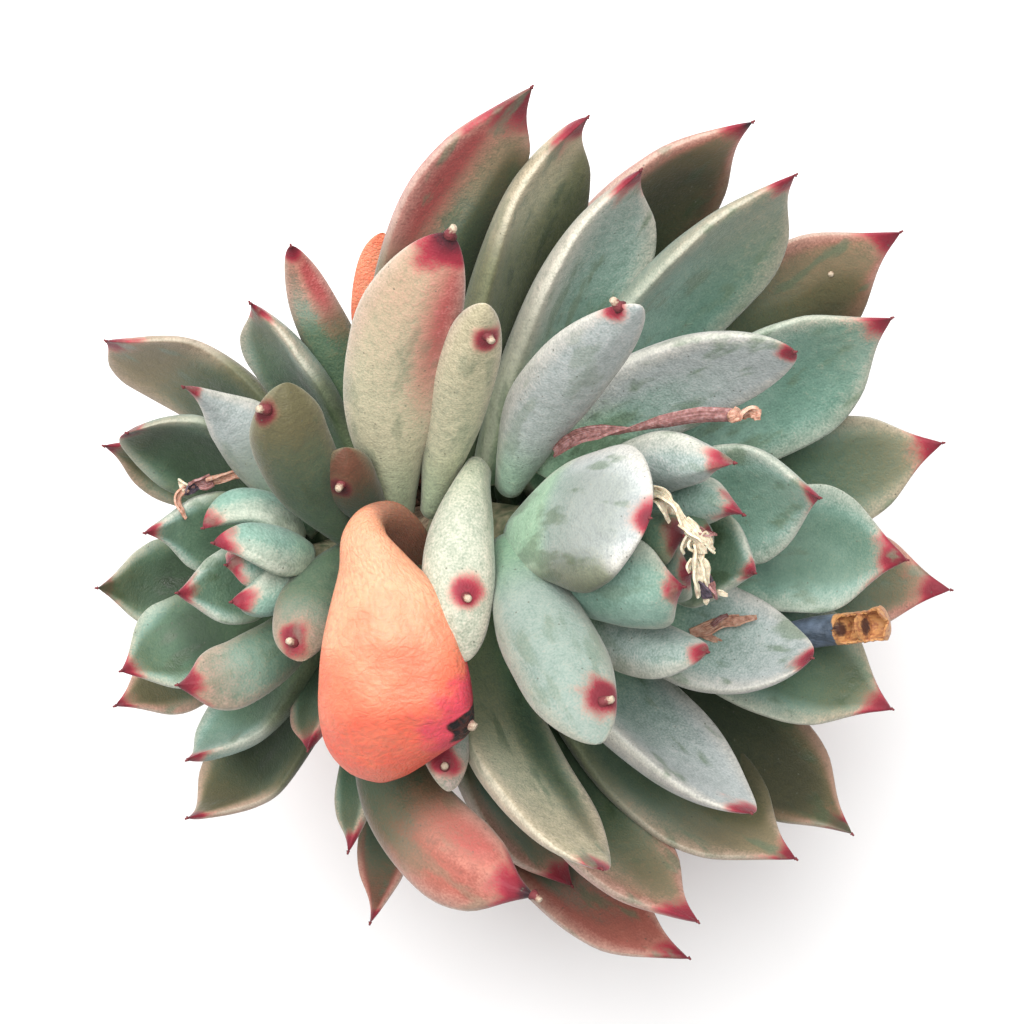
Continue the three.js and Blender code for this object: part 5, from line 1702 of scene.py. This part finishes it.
# %% Pot
POT_HEIGHT = 60
POT_BASE_RADIUS = 26
POT_NECK_RADIUS = 34
POT_RIM_RADIUS = 38
RIM_HEIGHT = 15
WALL = 3.2
POT_FLOOR = 4
DRAIN_RADIUS = 3
DRAIN_RING = 14
DRAIN_COUNT = 3
DRAIN_SIDES = 32
POT_SIDES = 96
INNER_BASE = POT_BASE_RADIUS - WALL
INNER_RIM = POT_NECK_RADIUS - WALL + 0.8


def inner_radius(height):
    """Radius of the pot's inner wall at a height."""
    return INNER_BASE + (INNER_RIM - INNER_BASE) * (height - POT_FLOOR) / (POT_HEIGHT - POT_FLOOR)


def thrown(name, foot, profile, insets=0):
    """A round body pulled up from its foot through rings, each a radius and a height in millimetres."""
    radius, height = foot
    bpy.ops.object.select_all(action="DESELECT")
    bpy.ops.mesh.primitive_circle_add(
        vertices=POT_SIDES, radius=radius * MM, fill_type="NGON", location=(0, 0, height * MM))
    piece = bpy.context.object
    piece.name = name
    bpy.ops.object.mode_set(mode="EDIT")
    for next_radius, next_height in profile:
        bpy.ops.mesh.extrude_region_move(
            TRANSFORM_OT_translate={"value": (0, 0, (next_height - height) * MM)})
        bpy.ops.transform.resize(value=(next_radius / radius, next_radius / radius, 1))
        radius, height = next_radius, next_height
    for ring in range(insets):
        bpy.ops.mesh.inset(thickness=radius / (insets + 1) * MM)
    bpy.ops.mesh.select_all(action="SELECT")
    bpy.ops.mesh.normals_make_consistent(inside=False)
    bpy.ops.object.mode_set(mode="OBJECT")
    place_in_mesh(piece)
    return piece


band = POT_HEIGHT - RIM_HEIGHT
pot = thrown("clay_pot", (POT_BASE_RADIUS - 1, 0), [
    (POT_BASE_RADIUS, 1.0), (POT_NECK_RADIUS - 4, band / 2), (POT_NECK_RADIUS, band),
    (POT_RIM_RADIUS - 0.8, band + 0.2), (POT_RIM_RADIUS - 0.4, band + 1.2),
    (POT_RIM_RADIUS, POT_HEIGHT - 1.4), (POT_RIM_RADIUS - 1.2, POT_HEIGHT), (INNER_RIM + 1.2, POT_HEIGHT),
    (inner_radius(POT_HEIGHT - 1.6), POT_HEIGHT - 1.6), (inner_radius(POT_FLOOR + 2), POT_FLOOR + 2),
    (INNER_BASE - 2, POT_FLOOR),
])
for i in range(DRAIN_COUNT):
    turn = 2 * math.pi * (i + 0.5) / DRAIN_COUNT
    bpy.ops.object.select_all(action="DESELECT")
    bpy.ops.mesh.primitive_cylinder_add(
        vertices=DRAIN_SIDES, radius=DRAIN_RADIUS * MM, depth=4 * POT_FLOOR * MM,
        location=(DRAIN_RING * math.cos(turn) * MM, DRAIN_RING * math.sin(turn) * MM, 0))
    drill = bpy.context.object
    cut = pot.modifiers.new("drain", "BOOLEAN")
    cut.operation = "DIFFERENCE"
    cut.object = drill
    apply_modifiers(pot)
    bpy.data.objects.remove(drill)
worn_edge = pot.modifiers.new("worn_edges", "BEVEL")
worn_edge.width = 0.5 * MM
worn_edge.segments = 3
worn_edge.limit_method = "ANGLE"
worn_edge.angle_limit = math.radians(35)
apply_modifiers(pot)
bpy.ops.object.shade_smooth_by_angle(angle=math.radians(40))
print("pot", len(pot.data.polygons), "faces, with", DRAIN_COUNT, "drain holes")

# %% [markdown]
# ## Terracotta
# Earthenware fired without a glaze is matt and thirsty. It is brick orange with a fine sandy grain, shows
# faint rings from the throwing, and blooms white where watering has drawn salts through the wall, most of
# all near the foot.

# %% Terracotta finish
SALT_RISE = (2.0, 30.0)
THROWING_SCALE = 0.12

terracotta, tree, shader = new_finish("unglazed_terracotta", roughness=0.9, IOR=1.5)
in_mm = place_in_mm(tree)
clouds = noise_at(tree, in_mm, 14.0, detail=5.0)
sand = noise_at(tree, in_mm, 0.7, detail=3.0)
clay = two_tones(tree, clouds, 0.2, "#a55a3c", "#c47a56")
height_mm = node(tree, "ShaderNodeSeparateXYZ", {"Vector": in_mm}).outputs["Z"]
salt_reach = node(
    tree, "ShaderNodeMapRange",
    {"Value": height_mm, "From Min": SALT_RISE[0], "From Max": SALT_RISE[1], "To Min": 0.18, "To Max": -0.1})
salt_noise = noise_at(tree, in_mm, 7.0, detail=6.0, stretch=(1, 1, 0.7))
salt_sum = node(tree, "ShaderNodeMath", {0: salt_noise, 1: salt_reach.outputs[0]}, operation="ADD")
salt = node(
    tree, "ShaderNodeMapRange",
    {"Value": salt_sum.outputs[0], "From Min": 0.05, "From Max": 0.3, "To Max": 0.55},
    interpolation_type="SMOOTHSTEP")
clay = node(
    tree, "ShaderNodeMix", {0: salt.outputs[0], 6: clay, 7: colour("#e0cdbd")}, data_type="RGBA").outputs[2]
clay = grained(tree, clay, sand, 0.25, 0.88, 1.08)
throwing = node(
    tree, "ShaderNodeTexWave", {"Vector": in_mm, "Scale": THROWING_SCALE, "Distortion": 1.2, "Detail": 1.0},
    bands_direction="Z").outputs["Fac"]
relief = node(tree, "ShaderNodeMath", {0: throwing, 1: 0.35, 2: sand}, operation="MULTIPLY_ADD").outputs[0]
lay_on(tree, shader, clay, relief, strength=0.6, depth_mm=0.4)
pot.data.materials.append(terracotta)
hand_over(pot, "terracotta", "pot")

# %% [markdown]
# ## Soil bed
# Succulents are grown in a sharp, open mix. The bed fills the pot, so it is pulled up in the same way, just
# inside the wall. Its top is then inset ring by ring, which gives noise enough vertices to heave it.

# %% Soil bed
GAP = 0.3
SOIL_FOOT = (INNER_BASE - 2 - GAP, POT_FLOOR + GAP)
SOIL_SHOULDER = SOIL_TOP - 1.5
SOIL_RADIUS = inner_radius(SOIL_SHOULDER) - GAP
SOIL_RINGS = 24
SOIL_MOUND = 1.6
SOIL_RISE = 1.3

soil = thrown("soil_bed", SOIL_FOOT, [
    (inner_radius(POT_FLOOR + 2.3) - GAP * 1.5, POT_FLOOR + 2.5), (SOIL_RADIUS, SOIL_SHOULDER)],
    insets=SOIL_RINGS)
bed = vertices(soil)
top = bed[:, 2] > SOIL_SHOULDER - 0.1
spread = np.linalg.norm(bed[:, :2], axis=1) / SOIL_RADIUS
heave = SOIL_MOUND * (1 - spread**2) + SOIL_RISE + rough(bed, 5.0, 1.0) * 0.8 + rough(bed, 1.6, 4.0) * 0.5
bed[:, 2] += np.where(top, heave * ease(1 - spread, 0.0, 0.12), 0)
set_vertices(soil, bed)


def soil_height(x, y):
    """Height of the soil under a place, from its nearest vertex."""
    surface = bed[top]
    nearest = np.argmin((surface[:, 0] - x) ** 2 + (surface[:, 1] - y) ** 2)
    return surface[nearest, 2]


print("the soil rises to", round(float(bed[:, 2].max()), 1), "mm")

# %% [markdown]
# ## Stones
# Crushed stone is strewn over the bed. One stone is made from a small ball with 48 faces, and each of its
# copies is broken, turned and sized by a seeded draw, so none are alike. They are laid out as seeds are in
# a sunflower, each a golden turn on from the last, which spreads them evenly without a pattern that shows.

# %% Stones
STONES = 420
STONE_SIZE = (0.7, 2.0)
STONE_MARGIN = 1.5
GOLDEN_TURN = math.pi * (3 - math.sqrt(5))

bpy.ops.object.select_all(action="DESELECT")
bpy.ops.mesh.primitive_uv_sphere_add(segments=8, ring_count=6, radius=1 * MM)
stone = bpy.context.object
stone_points = vertices(stone)
stones = []
for i in range(STONES):
    reach = (SOIL_RADIUS - STONE_MARGIN) * math.sqrt((i + 0.5) / STONES)
    x, y = reach * math.cos(i * GOLDEN_TURN), reach * math.sin(i * GOLDEN_TURN)
    size = STONE_SIZE[0] + (STONE_SIZE[1] - STONE_SIZE[0]) * draw.random() ** 2
    broken = stone_points * (1 + draw.uniform(-0.18, 0.18, (len(stone_points), 1)))
    broken = broken * size * draw.uniform((0.8, 0.7, 0.5), (1.1, 1.0, 0.8))
    axis = Vector(unit(draw.normal(size=3)))
    broken = broken @ np.array(axis.to_track_quat("Z", "Y").to_matrix()).T
    copy = copy_of(stone, f"stone_{i}", broken + np.array([x, y, soil_height(x, y) + 0.15 * size]))
    mark(copy, "stone", np.full(len(broken), draw.random()))
    stones.append(copy)
print(STONES, "stones of", len(stone.data.polygons), "faces")

# %% [markdown]
# ## Soil finishes
# The mix is dark peat with a damp, crumbly surface. The stones are pumice, lava and crushed brick, so each
# takes its tone from its own draw: most are grey-buff, some rust red and a few nearly black.

# %% Soil and stone finishes
peat, tree, shader = new_finish("peat_and_sand_mix", roughness=0.95)
crumbs = noise_at(tree, place_in_mm(tree), 1.2, detail=6.0)
lay_on(tree, shader, two_tones(tree, crumbs, 0.2, "#2e231b", "#6b5744"), crumbs, strength=1.0, depth_mm=1.0)
soil.data.materials.append(peat)

crushed_stone, tree, shader = new_finish("pumice_and_lava_grit", roughness=0.92)
own_tone = node(tree, "ShaderNodeAttribute", attribute_name="stone").outputs["Fac"]
stone_ramp = node(tree, "ShaderNodeValToRGB", {"Fac": own_tone})
stone_ramp.color_ramp.elements[0].color = colour("#3a332e")
stone_ramp.color_ramp.elements[1].color = colour("#cfc4b2")
for position, code in ((0.18, "#7a4a35"), (0.3, "#8d7f6d"), (0.7, "#b3a68f")):
    stone_ramp.color_ramp.elements.new(position).color = colour(code)
pits = noise_at(tree, place_in_mm(tree), 0.5, detail=4.0)
stone_colour = grained(tree, stone_ramp.outputs["Color"], pits, 0.25, 0.75, 1.1)
lay_on(tree, shader, stone_colour, pits, strength=0.9, depth_mm=0.5)
for piece in stones:
    piece.data.materials.append(crushed_stone)
soil = joined("soil_bed", [soil] + stones)
hand_over(soil, "soil", "soil")

# %% [markdown]
# ## Clearing up
# The leaf blank, the dry point and the stone that all the copies came from aren't part of the plant, so they
# are taken away, and nothing but the plant and its setting stays in the scene. They are taken away, because
# anything left in the scene would count as a piece.

# %% Remove the starts of the copies
for start in (blank, nib, stone):
    bpy.data.objects.remove(start)

# %% [markdown]
# ## Size
# The box of the dressed model is printed in millimetres.

# %% The dressed model's box
low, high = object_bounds()
print("dressed model", [round(float(v) / MM) for v in high - low], "mm")
